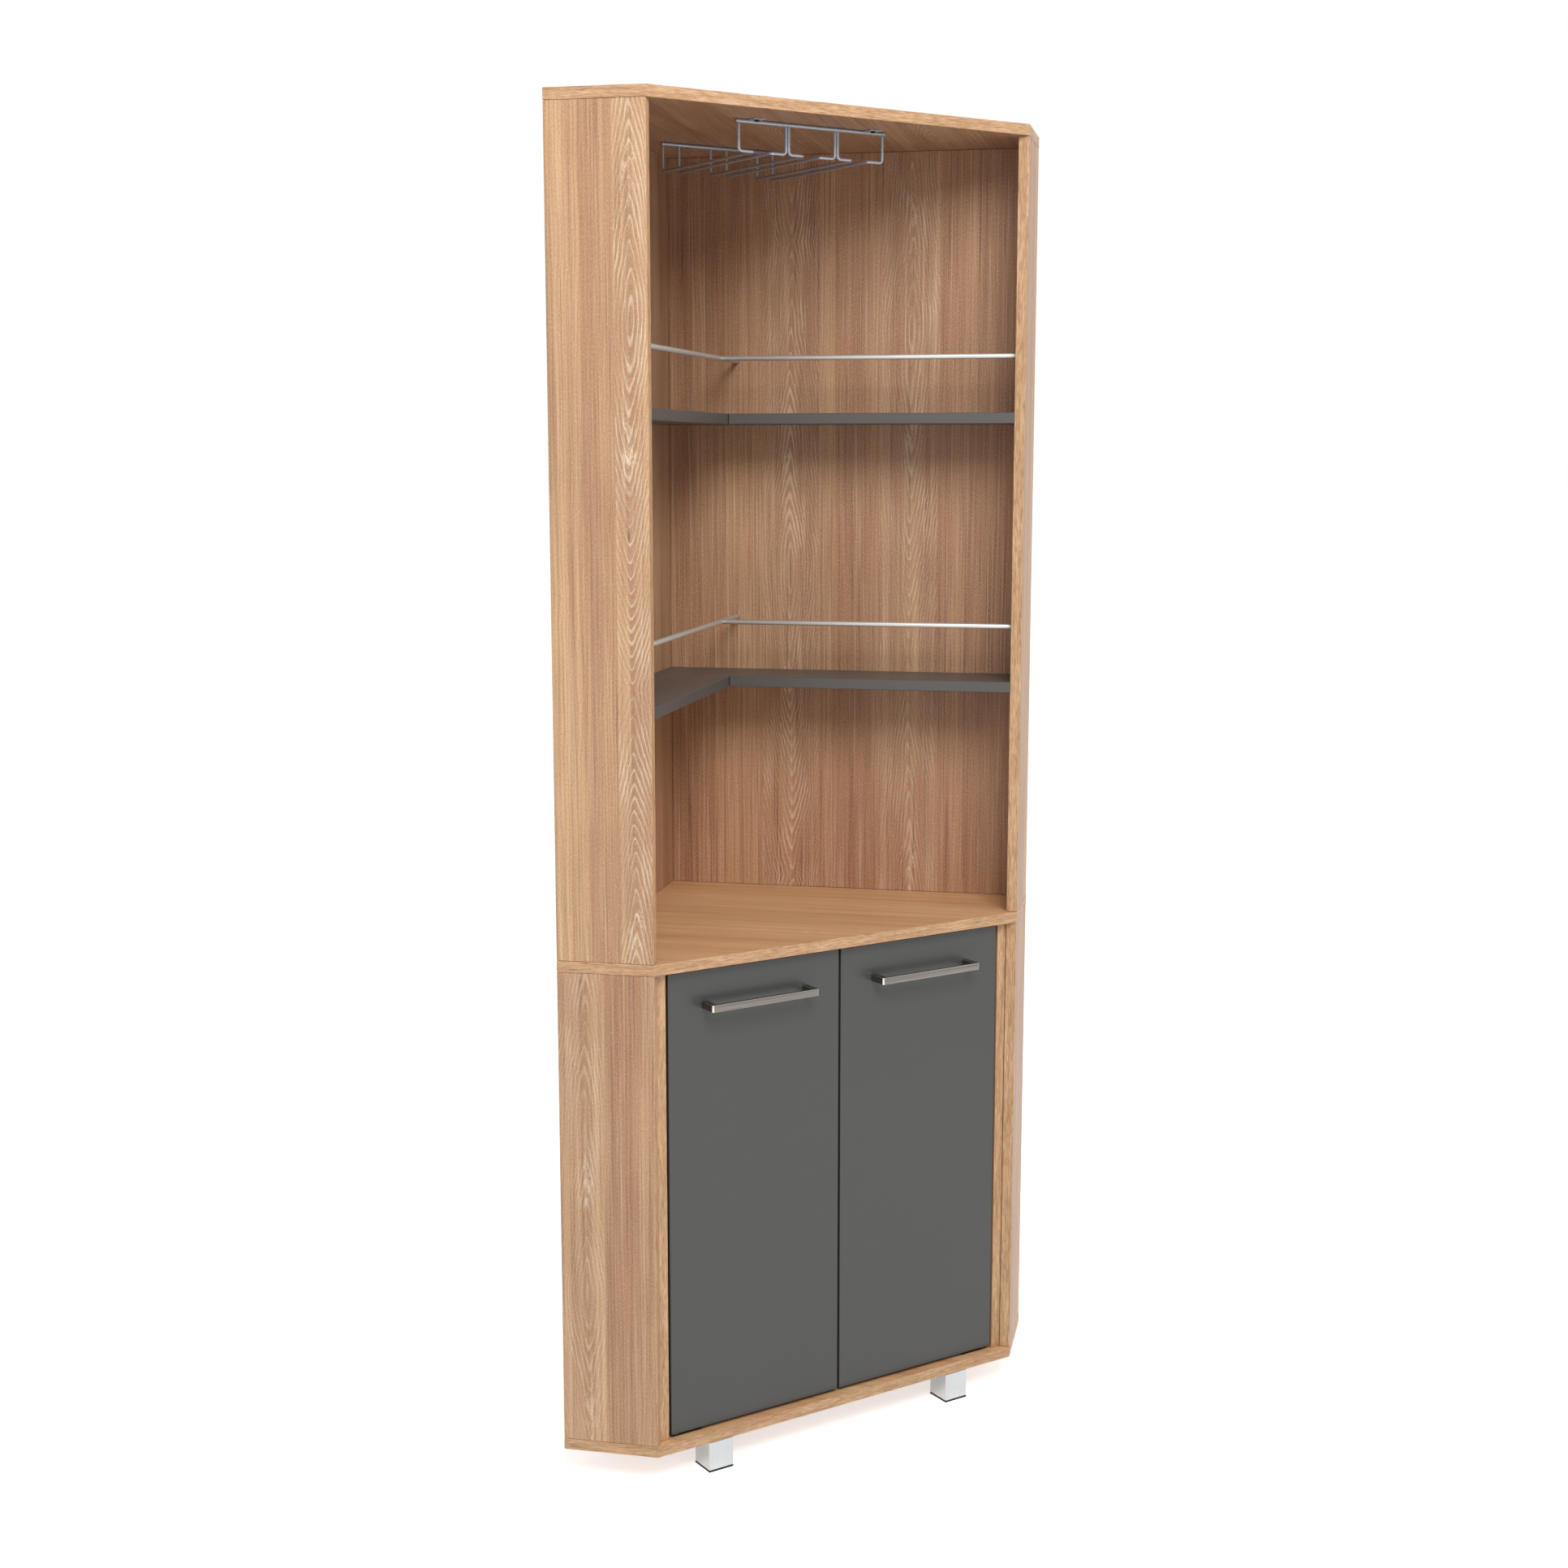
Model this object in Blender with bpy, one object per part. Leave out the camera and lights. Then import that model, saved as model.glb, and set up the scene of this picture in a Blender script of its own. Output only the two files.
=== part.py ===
"""Corner bar cabinet, in metres with +Z up.

Seen from above the cabinet is a square corner with a long flat front. Two wall
sides meet at the back corner, a short side stands square to each wall, and the
front joins the two short sides. The open bar above the worktop has two shelves
with guard rods and a wire rack for stemmed glasses, and the cupboard below has a
pair of doors on pin hinges. The origin lies on the floor, midway between the
frontmost and the rearmost point.
"""

import math

import bmesh
import bpy
from mathutils import Vector

# Boards
BOARD = 0.015
BACK_BOARD = 0.012
EDGE_EASE = 0.0006

# Outline of the cabinet
FRONT_WIDTH = 0.600
SIDE_RUN = 0.131
SIDE_SET_IN = 0.0003

# Heights
LEG_HEIGHT = 0.043
CUPBOARD_CLEAR = 0.645
BAR_CLEAR = 1.081
LOWER_SHELF_RISE = 0.332
UPPER_SHELF_RISE = 0.709

# Clearances: where pieces rest on each other, and round a turning pin
SEAT = 0.0003
PIN_PLAY = 0.0001
CUT_OVERRUN = 0.002

# Shelves and the guard rods over them
SHELF_SET_IN = 0.0005
ROD_RADIUS = 0.0035
ROD_RISE = 0.078
ROD_SET_BACK = 0.0145
ROD_BITE = 0.008

# Glass rack
WIRE_RADIUS = 0.0021
WIRE_BEND = 0.0045
RACK_BAR_RADIUS = 0.0025
RACK_FRONT_Y = 0.086
RACK_BACK_Y = 0.324
RACK_DROP = 0.0405
CHANNEL_COUNT = 3
CHANNEL_PITCH = 0.0775
CHANNEL_SLOT = 0.026
TAB_WIDTH = 0.018
TAB_REACH = 0.017
TAB_THICKNESS = 0.0015
FRONT_TAB_X = 0.092
BACK_TAB_X = 0.045
RACK_SCREW_RADIUS = 0.0018
RACK_SCREW_LENGTH = 0.011
RACK_SCREW_HEAD_RADIUS = 0.0035
RACK_SCREW_HEAD_HEIGHT = 0.002

# Doors
DOOR_THICKNESS = 0.015
DOOR_SET_BACK = 0.0125
DOOR_GAP = 0.0035
DOOR_RISE = 0.0048
POST_DEPTH = 0.090

# Pin hinges: the pin's place in the door, its plate and its bush
PIN_FROM_EDGE = 0.010
PIN_FROM_FACE = 0.0085
PIN_RADIUS = 0.0025
PIN_LENGTH = 0.009
PLATE_THICKNESS = 0.0015
PLATE_WIDTH = 0.010
PLATE_LENGTH = 0.045
BUSH_WALL = 0.0013
BUSH_LENGTH = 0.011
BUSH_FLANGE_RADIUS = 0.0055

# Handles and their screws
HANDLE_LENGTH = 0.168
HANDLE_REACH = 0.0285
HANDLE_BAR_DEPTH = 0.005
HANDLE_BAR_HEIGHT = 0.0095
HANDLE_POST_WIDTH = 0.009
HANDLE_CORNER = 0.0018
HANDLE_DROP = 0.0475
HANDLE_EASE = 0.0004
HANDLE_SCREW_RADIUS = 0.002
HANDLE_SCREW_BITE = 0.009
HANDLE_SCREW_HEAD_RADIUS = 0.004
HANDLE_SCREW_HEAD_HEIGHT = 0.0025

# Magnetic catch behind the meeting edges of the doors
CATCH_WIDTH = 0.048
CATCH_DEPTH = 0.014
CATCH_HEIGHT = 0.013
CATCH_EAR = 0.011
CATCH_EAR_HEIGHT = 0.003
CATCH_EASE = 0.001
STRIKE_WIDTH = 0.018
STRIKE_HEIGHT = 0.010
STRIKE_THICKNESS = 0.0012
STRIKE_FROM_EDGE = 0.003

# Legs
LEG_WIDTH = 0.038
LEG_WALL = 0.0015
LEG_CAP = 0.003
LEG_EASE = 0.0012
LEG_X = 0.201
LEG_SET_BACK = 0.0005
BACK_LEG_FROM_CORNER = 0.085
PAD_THICKNESS = 0.002
PAD_SPIGOT = 0.008
STUD_RADIUS = 0.004
STUD_LENGTH = 0.011

# Facets of the round pieces
SMALL_ROUND = 16
FINE_ROUND = 24
BEND_STEPS = 5
WIRE_RESOLUTION = 2

# Plan, measured from the middle of the front edge before the origin is moved
DIAGONAL = math.sqrt(0.5)
HALF_FRONT = FRONT_WIDTH / 2
SIDE_SPREAD = SIDE_RUN * DIAGONAL
HALF_WIDTH = HALF_FRONT + SIDE_SPREAD
BACK_CORNER_Y = SIDE_SPREAD + HALF_WIDTH
WALL_LENGTH = HALF_WIDTH / DIAGONAL
LEFT, RIGHT = -1, 1
SIDES = {LEFT: "left", RIGHT: "right"}

# Levels
BOTTOM_LOW = LEG_HEIGHT
BOTTOM_TOP = BOTTOM_LOW + BOARD
WORKTOP_LOW = BOTTOM_TOP + CUPBOARD_CLEAR
WORKTOP_TOP = WORKTOP_LOW + BOARD
CEILING = WORKTOP_TOP + BAR_CLEAR
SHELF_TOPS = {"lower": WORKTOP_TOP + LOWER_SHELF_RISE, "upper": WORKTOP_TOP + UPPER_SHELF_RISE}

# Places that several pieces share
SIDE_INNER = SIDE_SET_IN + BOARD
SIDE_FRONT = SIDE_RUN
SHELF_FRONT = SIDE_FRONT - SHELF_SET_IN
ROD_INWARD = SHELF_FRONT - ROD_SET_BACK
DOOR_FACE_Y = DOOR_SET_BACK
DOOR_BACK_Y = DOOR_FACE_Y + DOOR_THICKNESS
HANDLE_FRONT_Y = DOOR_FACE_Y - HANDLE_REACH
ORIGIN_Y = (BACK_CORNER_Y + HANDLE_FRONT_Y) / 2
DOOR_LOW = BOTTOM_TOP + DOOR_RISE
DOOR_TOP = WORKTOP_LOW - DOOR_GAP
BAR_CENTRE_Z = CEILING - SEAT - RACK_BAR_RADIUS
RAIL_Z = CEILING - RACK_DROP

# Colours
OAK = ("oak_decor", (0.52, 0.34, 0.20), 0.45, 0.0)
CHARCOAL = ("charcoal_board", (0.105, 0.105, 0.100), 0.38, 0.0)
RACK_STEEL = ("rack_steel", (0.42, 0.45, 0.50), 0.35, 1.0)
ROD_STEEL = ("rod_steel", (0.66, 0.65, 0.63), 0.28, 1.0)
NICKEL = ("brushed_nickel", (0.58, 0.56, 0.53), 0.30, 1.0)
LEG_METAL = ("leg_aluminium", (0.72, 0.73, 0.75), 0.25, 1.0)
HINGE_STEEL = ("hinge_steel", (0.55, 0.55, 0.56), 0.35, 1.0)
DARK_RUBBER = ("dark_rubber", (0.02, 0.02, 0.02), 0.7, 0.0)
NYLON = ("nylon", (0.025, 0.025, 0.026), 0.5, 0.0)


def clear_scene():
    """Remove every object that the file starts with."""
    for old in list(bpy.data.objects):
        bpy.data.objects.remove(old, do_unlink=True)


def material(finish):
    """Return the Principled material of a finish, made on first use."""
    name, colour, roughness, metallic = finish
    found = bpy.data.materials.get(name)
    if found:
        return found
    made = bpy.data.materials.new(name)
    made.use_nodes = True
    shader = made.node_tree.nodes["Principled BSDF"]
    shader.inputs["Base Color"].default_value = (*colour, 1.0)
    shader.inputs["Roughness"].default_value = roughness
    shader.inputs["Metallic"].default_value = metallic
    return made


def empty(name, place, parent=None):
    """Add an empty that other objects hang from."""
    holder = bpy.data.objects.new(name, None)
    holder.location = place
    holder.parent = parent
    bpy.context.collection.objects.link(holder)
    return holder


def add_object(name, data, finish, parent, place=(0, 0, 0), turn=(0, 0, 0)):
    """Link a mesh or curve as an object at a place under its parent."""
    made = bpy.data.objects.new(name, data)
    made.location = place
    made.rotation_euler = turn
    made.parent = parent
    if finish:
        data.materials.append(material(finish))
    bpy.context.collection.objects.link(made)
    return made


def mesh_from(name, shape):
    """Turn a bmesh into mesh data with its faces pointing out."""
    bmesh.ops.recalc_face_normals(shape, faces=shape.faces)
    data = bpy.data.meshes.new(name)
    shape.to_mesh(data)
    shape.free()
    return data


def block_mesh(name, size):
    """A box about its own centre."""
    shape = bmesh.new()
    bmesh.ops.create_cube(shape, size=1.0)
    bmesh.ops.scale(shape, vec=size, verts=shape.verts)
    return mesh_from(name, shape)


def slab_mesh(name, outline, thickness, ease):
    """A plan outline raised from z = 0, with its top and bottom edges eased."""
    shape = bmesh.new()
    corners = [shape.verts.new((x, y, 0)) for x, y in outline]
    face = shape.faces.new(corners)
    raised = bmesh.ops.extrude_face_region(shape, geom=[face])
    lifted = [item for item in raised["geom"] if isinstance(item, bmesh.types.BMVert)]
    bmesh.ops.translate(shape, vec=(0, 0, thickness), verts=lifted)
    rims = [edge for edge in shape.edges if edge.verts[0].co.z == edge.verts[1].co.z]
    bmesh.ops.bevel(shape, geom=rims, offset=ease, offset_type="OFFSET", segments=1, affect="EDGES")
    return mesh_from(name, shape)


def turned_mesh(name, profile, facets):
    """A profile of (radius, height) points turned about Z.

    A profile that starts and ends on the axis makes a solid; any other is closed
    into a ring.
    """
    shape = bmesh.new()
    points = [shape.verts.new((radius, 0, height)) for radius, height in profile]
    edges = [shape.edges.new(pair) for pair in zip(points, points[1:])]
    if profile[0][0] > 0:
        edges.append(shape.edges.new((points[-1], points[0])))
    bmesh.ops.spin(
        shape, geom=points + edges, cent=(0, 0, 0), axis=(0, 0, 1),
        angle=math.tau, steps=facets, use_merge=True, use_duplicate=False,
    )
    bmesh.ops.remove_doubles(shape, verts=shape.verts, dist=SEAT / FINE_ROUND)
    data = mesh_from(name, shape)
    data.shade_smooth()
    data.set_sharp_from_angle(angle=math.radians(40))
    return data


def rod_mesh(name, radius, length, facets):
    """A round bar from the origin up to a length along Z."""
    return turned_mesh(name, [(0, 0), (radius, 0), (radius, length), (0, length)], facets)


def ease_edges(target, width):
    """Break the sharp edges of a board or a metal piece."""
    bevel = target.modifiers.new("eased_edges", "BEVEL")
    bevel.width = width
    bevel.segments = 1
    bevel.limit_method = "ANGLE"
    bevel.angle_limit = math.radians(30)
    bevel.use_clamp_overlap = True


def combine(target, tool, operation):
    """Cut a hidden tool out of a piece, or join it on."""
    tool.hide_render = True
    tool.display_type = "WIRE"
    joint = target.modifiers.new(operation.lower(), "BOOLEAN")
    joint.operation = operation
    joint.solver = "EXACT"
    joint.object = tool


def bore(target, start, end, radius, parent, facets=SMALL_ROUND):
    """Cut a round hole from one point to another."""
    start, end = Vector(start), Vector(end)
    run = end - start
    turn = run.to_track_quat("Z", "Y").to_euler()
    data = rod_mesh(f"{target.name}_bore", radius, run.length, facets)
    tool = add_object(f"{target.name}_bore", data, None, parent, start, turn)
    combine(target, tool, "DIFFERENCE")


def bar_between(name, start, end, radius, finish, parent, facets=SMALL_ROUND):
    """A round bar from one point to another."""
    start, end = Vector(start), Vector(end)
    run = end - start
    turn = run.to_track_quat("Z", "Y").to_euler()
    data = rod_mesh(name, radius, run.length, facets)
    return add_object(name, data, finish, parent, start, turn)


def wall_point(side, along, inward):
    """Plan point beside a wall.

    along is measured on the wall from its free end to the back corner, and inward
    is square to the wall, into the cabinet.
    """
    x = side * (HALF_WIDTH - (along + inward) * DIAGONAL)
    y = SIDE_SPREAD + (along - inward) * DIAGONAL
    return x, y


def wall_block(name, side, along, inward, levels, finish, parent):
    """A board set parallel to a wall, given by its ranges along, inward and up."""
    size = (along[1] - along[0], inward[1] - inward[0], levels[1] - levels[0])
    x, y = wall_point(side, sum(along) / 2, sum(inward) / 2)
    place = (x, y, sum(levels) / 2)
    turn = (0, 0, -side * math.pi / 4)
    made = add_object(name, block_mesh(name, size), finish, parent, place, turn)
    ease_edges(made, EDGE_EASE)
    return made


def carcass_outline():
    """The five corners that the top board, worktop and bottom board share."""
    return [
        (-HALF_FRONT, 0),
        (HALF_FRONT, 0),
        (HALF_WIDTH, SIDE_SPREAD),
        (0, BACK_CORNER_Y),
        (-HALF_WIDTH, SIDE_SPREAD),
    ]


def level_boards(root):
    """The top board, the worktop and the bottom board."""
    boards = {}
    for name, low in (("top_board", CEILING), ("worktop", WORKTOP_LOW), ("bottom_board", BOTTOM_LOW)):
        data = slab_mesh(name, carcass_outline(), BOARD, EDGE_EASE)
        boards[name] = add_object(name, data, OAK, root, (0, 0, low))
    return boards


def upright_boards(root):
    """Side and back boards of the bar and of the cupboard."""
    boards = {}
    stages = {"upper": (WORKTOP_TOP, CEILING), "lower": (BOTTOM_TOP, WORKTOP_LOW)}
    for stage, (low, high) in stages.items():
        levels = (low + SEAT, high - SEAT)
        for side, word in SIDES.items():
            name = f"{stage}_side_{word}"
            along = (SIDE_SET_IN, SIDE_INNER)
            boards[name] = wall_block(name, side, along, (0, SIDE_FRONT), levels, OAK, root)
            name = f"{stage}_back_{word}"
            corner = WALL_LENGTH if side == LEFT else WALL_LENGTH - BACK_BOARD - SEAT
            along = (SIDE_INNER + SEAT, corner)
            boards[name] = wall_block(name, side, along, (0, BACK_BOARD), levels, OAK, root)
    return boards


def door_posts(root):
    """The upright beside each door, from the bottom board to the worktop.

    Its front is flush with the door, and its outer corner meets the slanting inner
    face of the side board.
    """
    corner_x, corner_y = wall_point(RIGHT, SIDE_INNER, SIDE_FRONT)
    outer = corner_x + DOOR_FACE_Y - corner_y - SEAT / DIAGONAL
    size = (BOARD, POST_DEPTH, CUPBOARD_CLEAR - 2 * SEAT)
    for side, word in SIDES.items():
        name = f"door_post_{word}"
        place = (
            side * (outer - BOARD / 2),
            DOOR_FACE_Y + POST_DEPTH / 2,
            (BOTTOM_TOP + WORKTOP_LOW) / 2,
        )
        post = add_object(name, block_mesh(name, size), OAK, root, place)
        ease_edges(post, EDGE_EASE)
    return outer - BOARD


def shelf_outline():
    """An L with equal wings along the two walls."""
    behind = BACK_BOARD + SEAT
    end = SIDE_INNER + SEAT
    return [
        wall_point(LEFT, end, SHELF_FRONT),
        (0, BACK_CORNER_Y - SHELF_FRONT / DIAGONAL),
        wall_point(RIGHT, end, SHELF_FRONT),
        wall_point(RIGHT, end, behind),
        (0, BACK_CORNER_Y - behind / DIAGONAL),
        wall_point(LEFT, end, behind),
    ]


def shelves(root):
    """Two L-shaped shelves between the side boards."""
    for stage, top in SHELF_TOPS.items():
        name = f"{stage}_shelf"
        data = slab_mesh(name, shelf_outline(), BOARD, EDGE_EASE)
        add_object(name, data, CHARCOAL, root, (0, 0, top - BOARD))


def guard_rods(root, boards):
    """A rod over each wing of each shelf.

    The left rod runs on past the corner into the right wall, and the right rod ends
    on it in a saddle.
    """
    hole = ROD_RADIUS + SEAT
    crossing = WALL_LENGTH - ROD_INWARD
    reach = WALL_LENGTH - BACK_BOARD + ROD_BITE
    for stage, top in SHELF_TOPS.items():
        z = top + ROD_RISE
        bite = SIDE_INNER - ROD_BITE
        start = (*wall_point(LEFT, bite + SEAT, ROD_INWARD), z)
        end = (*wall_point(LEFT, reach - SEAT, ROD_INWARD), z)
        bar_between(f"{stage}_rod_left", start, end, ROD_RADIUS, ROD_STEEL, root)
        mouth = (*wall_point(LEFT, SIDE_INNER + CUT_OVERRUN, ROD_INWARD), z)
        bottom = (*wall_point(LEFT, bite, ROD_INWARD), z)
        bore(boards["upper_side_left"], mouth, bottom, hole, root)
        mouth = (*wall_point(LEFT, WALL_LENGTH - BACK_BOARD - CUT_OVERRUN, ROD_INWARD), z)
        bottom = (*wall_point(LEFT, reach, ROD_INWARD), z)
        bore(boards["upper_back_right"], mouth, bottom, hole, root)

        start = (*wall_point(RIGHT, bite + SEAT, ROD_INWARD), z)
        end = (*wall_point(RIGHT, crossing, ROD_INWARD), z)
        right = bar_between(f"{stage}_rod_right", start, end, ROD_RADIUS, ROD_STEEL, root)
        saddle = ROD_RADIUS + 2 * ROD_RADIUS
        before = (*wall_point(LEFT, crossing - saddle, ROD_INWARD), z)
        after = (*wall_point(LEFT, crossing + saddle, ROD_INWARD), z)
        bore(right, before, after, hole, root, FINE_ROUND)
        mouth = (*wall_point(RIGHT, SIDE_INNER + CUT_OVERRUN, ROD_INWARD), z)
        bottom = (*wall_point(RIGHT, bite, ROD_INWARD), z)
        bore(boards["upper_side_right"], mouth, bottom, hole, root)


def rounded_path(corners, radius, steps):
    """A path through corners with each inner corner turned into an arc."""
    corners = [Vector(corner) for corner in corners]
    path = [corners[0]]
    for before, corner, after in zip(corners, corners[1:], corners[2:]):
        into, out = (corner - before).normalized(), (after - corner).normalized()
        setback = radius * math.tan(into.angle(out) / 2)
        centre = corner - into * setback + (out - into * into.dot(out)).normalized() * radius
        first = corner - into * setback - centre
        last = corner + out * setback - centre
        path.extend(centre + first.slerp(last, step / steps) * radius for step in range(steps + 1))
    path.append(corners[-1])
    return path


def wire(name, corners, finish, parent):
    """A bent wire with filled ends through a list of corners."""
    data = bpy.data.curves.new(name, "CURVE")
    data.dimensions = "3D"
    data.bevel_depth = WIRE_RADIUS
    data.bevel_resolution = WIRE_RESOLUTION
    data.use_fill_caps = True
    path = rounded_path(corners, WIRE_BEND, BEND_STEPS)
    spline = data.splines.new("POLY")
    spline.points.add(len(path) - 1)
    for point, place in zip(spline.points, path):
        point.co = (*place, 1.0)
    return add_object(name, data, finish, parent)


def rack_bar(name, y, half_length, tab_x, tab_direction, root, ceiling_board):
    """A cross bar under the ceiling, with two tabs and their screws.

    tab_direction is -1 for tabs that reach to the front and 1 for the back.
    """
    start, end = (-half_length, y, BAR_CENTRE_Z), (half_length, y, BAR_CENTRE_Z)
    bar = bar_between(name, start, end, RACK_BAR_RADIUS, RACK_STEEL, root)
    for side, word in SIDES.items():
        tab_size = (TAB_WIDTH, TAB_REACH, TAB_THICKNESS)
        tab_place = (side * tab_x, y + tab_direction * TAB_REACH / 2, CEILING - SEAT - TAB_THICKNESS / 2)
        tab = add_object(f"{name}_tab", block_mesh(f"{name}_tab", tab_size), None, root, tab_place)
        combine(bar, tab, "UNION")
        screw_y = y + tab_direction * (TAB_REACH + RACK_BAR_RADIUS) / 2
        hole = RACK_SCREW_RADIUS + SEAT
        under_tab = CEILING - SEAT - TAB_THICKNESS
        tip = CEILING + RACK_SCREW_LENGTH
        low = (side * tab_x, screw_y, under_tab - CUT_OVERRUN)
        high = (side * tab_x, screw_y, tip + SEAT)
        bore(bar, low, (side * tab_x, screw_y, CEILING + CUT_OVERRUN), hole, root)
        bore(ceiling_board, low, high, hole, root)
        head = under_tab - SEAT
        profile = [
            (0, -RACK_SCREW_HEAD_HEIGHT),
            (RACK_SCREW_HEAD_RADIUS, -RACK_SCREW_HEAD_HEIGHT),
            (RACK_SCREW_HEAD_RADIUS, 0),
            (RACK_SCREW_RADIUS, 0),
            (RACK_SCREW_RADIUS, tip - head),
            (0, tip - head),
        ]
        screw_name = f"{name}_screw_{word}"
        data = turned_mesh(screw_name, profile, SMALL_ROUND)
        add_object(screw_name, data, HINGE_STEEL, root, (side * tab_x, screw_y, head))


def glass_rack(root, ceiling_board):
    """A wire rack with a pair of rails for each channel of glasses.

    Each rail hangs from the front bar at the edge of its channel, steps in under
    the glass foot, runs back and rises to the back bar.
    """
    half_rack = CHANNEL_COUNT * CHANNEL_PITCH / 2
    half_rails = half_rack - (CHANNEL_PITCH - CHANNEL_SLOT) / 2
    front_reach, back_reach = half_rack + WIRE_RADIUS, half_rails + WIRE_RADIUS
    rack_bar("rack_front_bar", RACK_FRONT_Y, front_reach, FRONT_TAB_X, LEFT, root, ceiling_board)
    rack_bar("rack_back_bar", RACK_BACK_Y, back_reach, BACK_TAB_X, RIGHT, root, ceiling_board)
    hook_top = BAR_CENTRE_Z - RACK_BAR_RADIUS - SEAT
    side_by_side = WIRE_RADIUS + SEAT / 2
    for channel in range(CHANNEL_COUNT):
        centre = (channel - (CHANNEL_COUNT - 1) / 2) * CHANNEL_PITCH
        for side, word in SIDES.items():
            drop_x = centre + side * (CHANNEL_PITCH / 2 - side_by_side)
            rail_x = centre + side * CHANNEL_SLOT / 2
            corners = [
                (drop_x, RACK_FRONT_Y, hook_top),
                (drop_x, RACK_FRONT_Y, RAIL_Z),
                (rail_x, RACK_FRONT_Y, RAIL_Z),
                (rail_x, RACK_BACK_Y, RAIL_Z),
                (rail_x, RACK_BACK_Y, hook_top),
            ]
            wire(f"rack_rail_{channel + 1}_{word}", corners, RACK_STEEL, root)


def hinge_plate(name, side, axis, seat_z, direction, root):
    """The plate screwed to a level board, with the pin that a door turns on.

    direction is 1 for a pin that stands up and -1 for one that hangs down.
    """
    pin = rod_mesh(name, PIN_RADIUS, PLATE_THICKNESS + PIN_LENGTH, FINE_ROUND)
    place = (axis[0], axis[1], seat_z + direction * SEAT)
    turn = (0, 0, 0) if direction > 0 else (math.pi, 0, 0)
    made = add_object(name, pin, HINGE_STEEL, root, place, turn)
    plate_size = (PLATE_LENGTH, PLATE_WIDTH, PLATE_THICKNESS)
    offset = side * (PLATE_LENGTH / 2 - PLATE_WIDTH / 2)
    plate_place = (axis[0] - offset, axis[1], place[2] + direction * PLATE_THICKNESS / 2)
    plate = add_object(f"{name}_leaf", block_mesh(f"{name}_leaf", plate_size), None, root, plate_place)
    combine(made, plate, "UNION")
    return made


def hinge_bush(name, direction, edge_z, gap, holder):
    """The flanged bush let into a door's end, round the pin.

    edge_z is the door's end in the holder's frame, gap is how far it stands off
    the board that carries the plate, and direction is -1 at the bottom end and
    1 at the top.
    """
    inner = PIN_RADIUS + PIN_PLAY
    outer = inner + BUSH_WALL
    flange = gap - PLATE_THICKNESS - 3 * SEAT
    profile = [
        (inner, SEAT + flange),
        (BUSH_FLANGE_RADIUS, SEAT + flange),
        (BUSH_FLANGE_RADIUS, SEAT),
        (outer, SEAT),
        (outer, -BUSH_LENGTH),
        (inner, -BUSH_LENGTH),
    ]
    turn = (0, 0, 0) if direction > 0 else (math.pi, 0, 0)
    data = turned_mesh(name, profile, FINE_ROUND)
    return add_object(name, data, NYLON, holder, (0, 0, edge_z), turn)


def handle_outline():
    """A staple in plan: its feet at y = 0 and its bar towards -y."""
    half = HANDLE_LENGTH / 2
    inner = half - HANDLE_POST_WIDTH
    front = -(HANDLE_REACH - SEAT)
    back = front + HANDLE_BAR_DEPTH
    return [
        (-half, 0),
        (-half, front + HANDLE_CORNER),
        (-half + HANDLE_CORNER, front),
        (half - HANDLE_CORNER, front),
        (half, front + HANDLE_CORNER),
        (half, 0),
        (inner, 0),
        (inner, back),
        (-inner, back),
        (-inner, 0),
    ]


def door_handle(word, centre_x, door, holder):
    """The bow handle and the two screws that hold it through the door."""
    name = f"handle_{word}"
    holder_y = holder.location.y
    face = DOOR_FACE_Y - holder_y
    back = DOOR_BACK_Y - holder_y
    middle_z = DOOR_TOP - HANDLE_DROP
    place = (centre_x, face - SEAT, middle_z - HANDLE_BAR_HEIGHT / 2)
    data = slab_mesh(name, handle_outline(), HANDLE_BAR_HEIGHT, HANDLE_EASE)
    handle = add_object(name, data, NICKEL, holder, place)
    spread = (HANDLE_LENGTH - HANDLE_POST_WIDTH) / 2
    hole = HANDLE_SCREW_RADIUS + SEAT
    for side, end_word in SIDES.items():
        x = centre_x + side * spread
        tip = face - SEAT - HANDLE_SCREW_BITE
        bore(door, (x, back + CUT_OVERRUN, middle_z), (x, face - CUT_OVERRUN, middle_z), hole, holder)
        bore(handle, (x, face + CUT_OVERRUN, middle_z), (x, tip - SEAT, middle_z), hole, holder)
        seat = back + SEAT
        profile = [
            (0, -HANDLE_SCREW_HEAD_HEIGHT),
            (HANDLE_SCREW_HEAD_RADIUS, -HANDLE_SCREW_HEAD_HEIGHT),
            (HANDLE_SCREW_HEAD_RADIUS, 0),
            (HANDLE_SCREW_RADIUS, 0),
            (HANDLE_SCREW_RADIUS, seat - tip),
            (0, seat - tip),
        ]
        screw_name = f"{name}_screw_{end_word}"
        data = turned_mesh(screw_name, profile, SMALL_ROUND)
        add_object(screw_name, data, HINGE_STEEL, holder, (x, seat, middle_z), (math.pi / 2, 0, 0))


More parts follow.
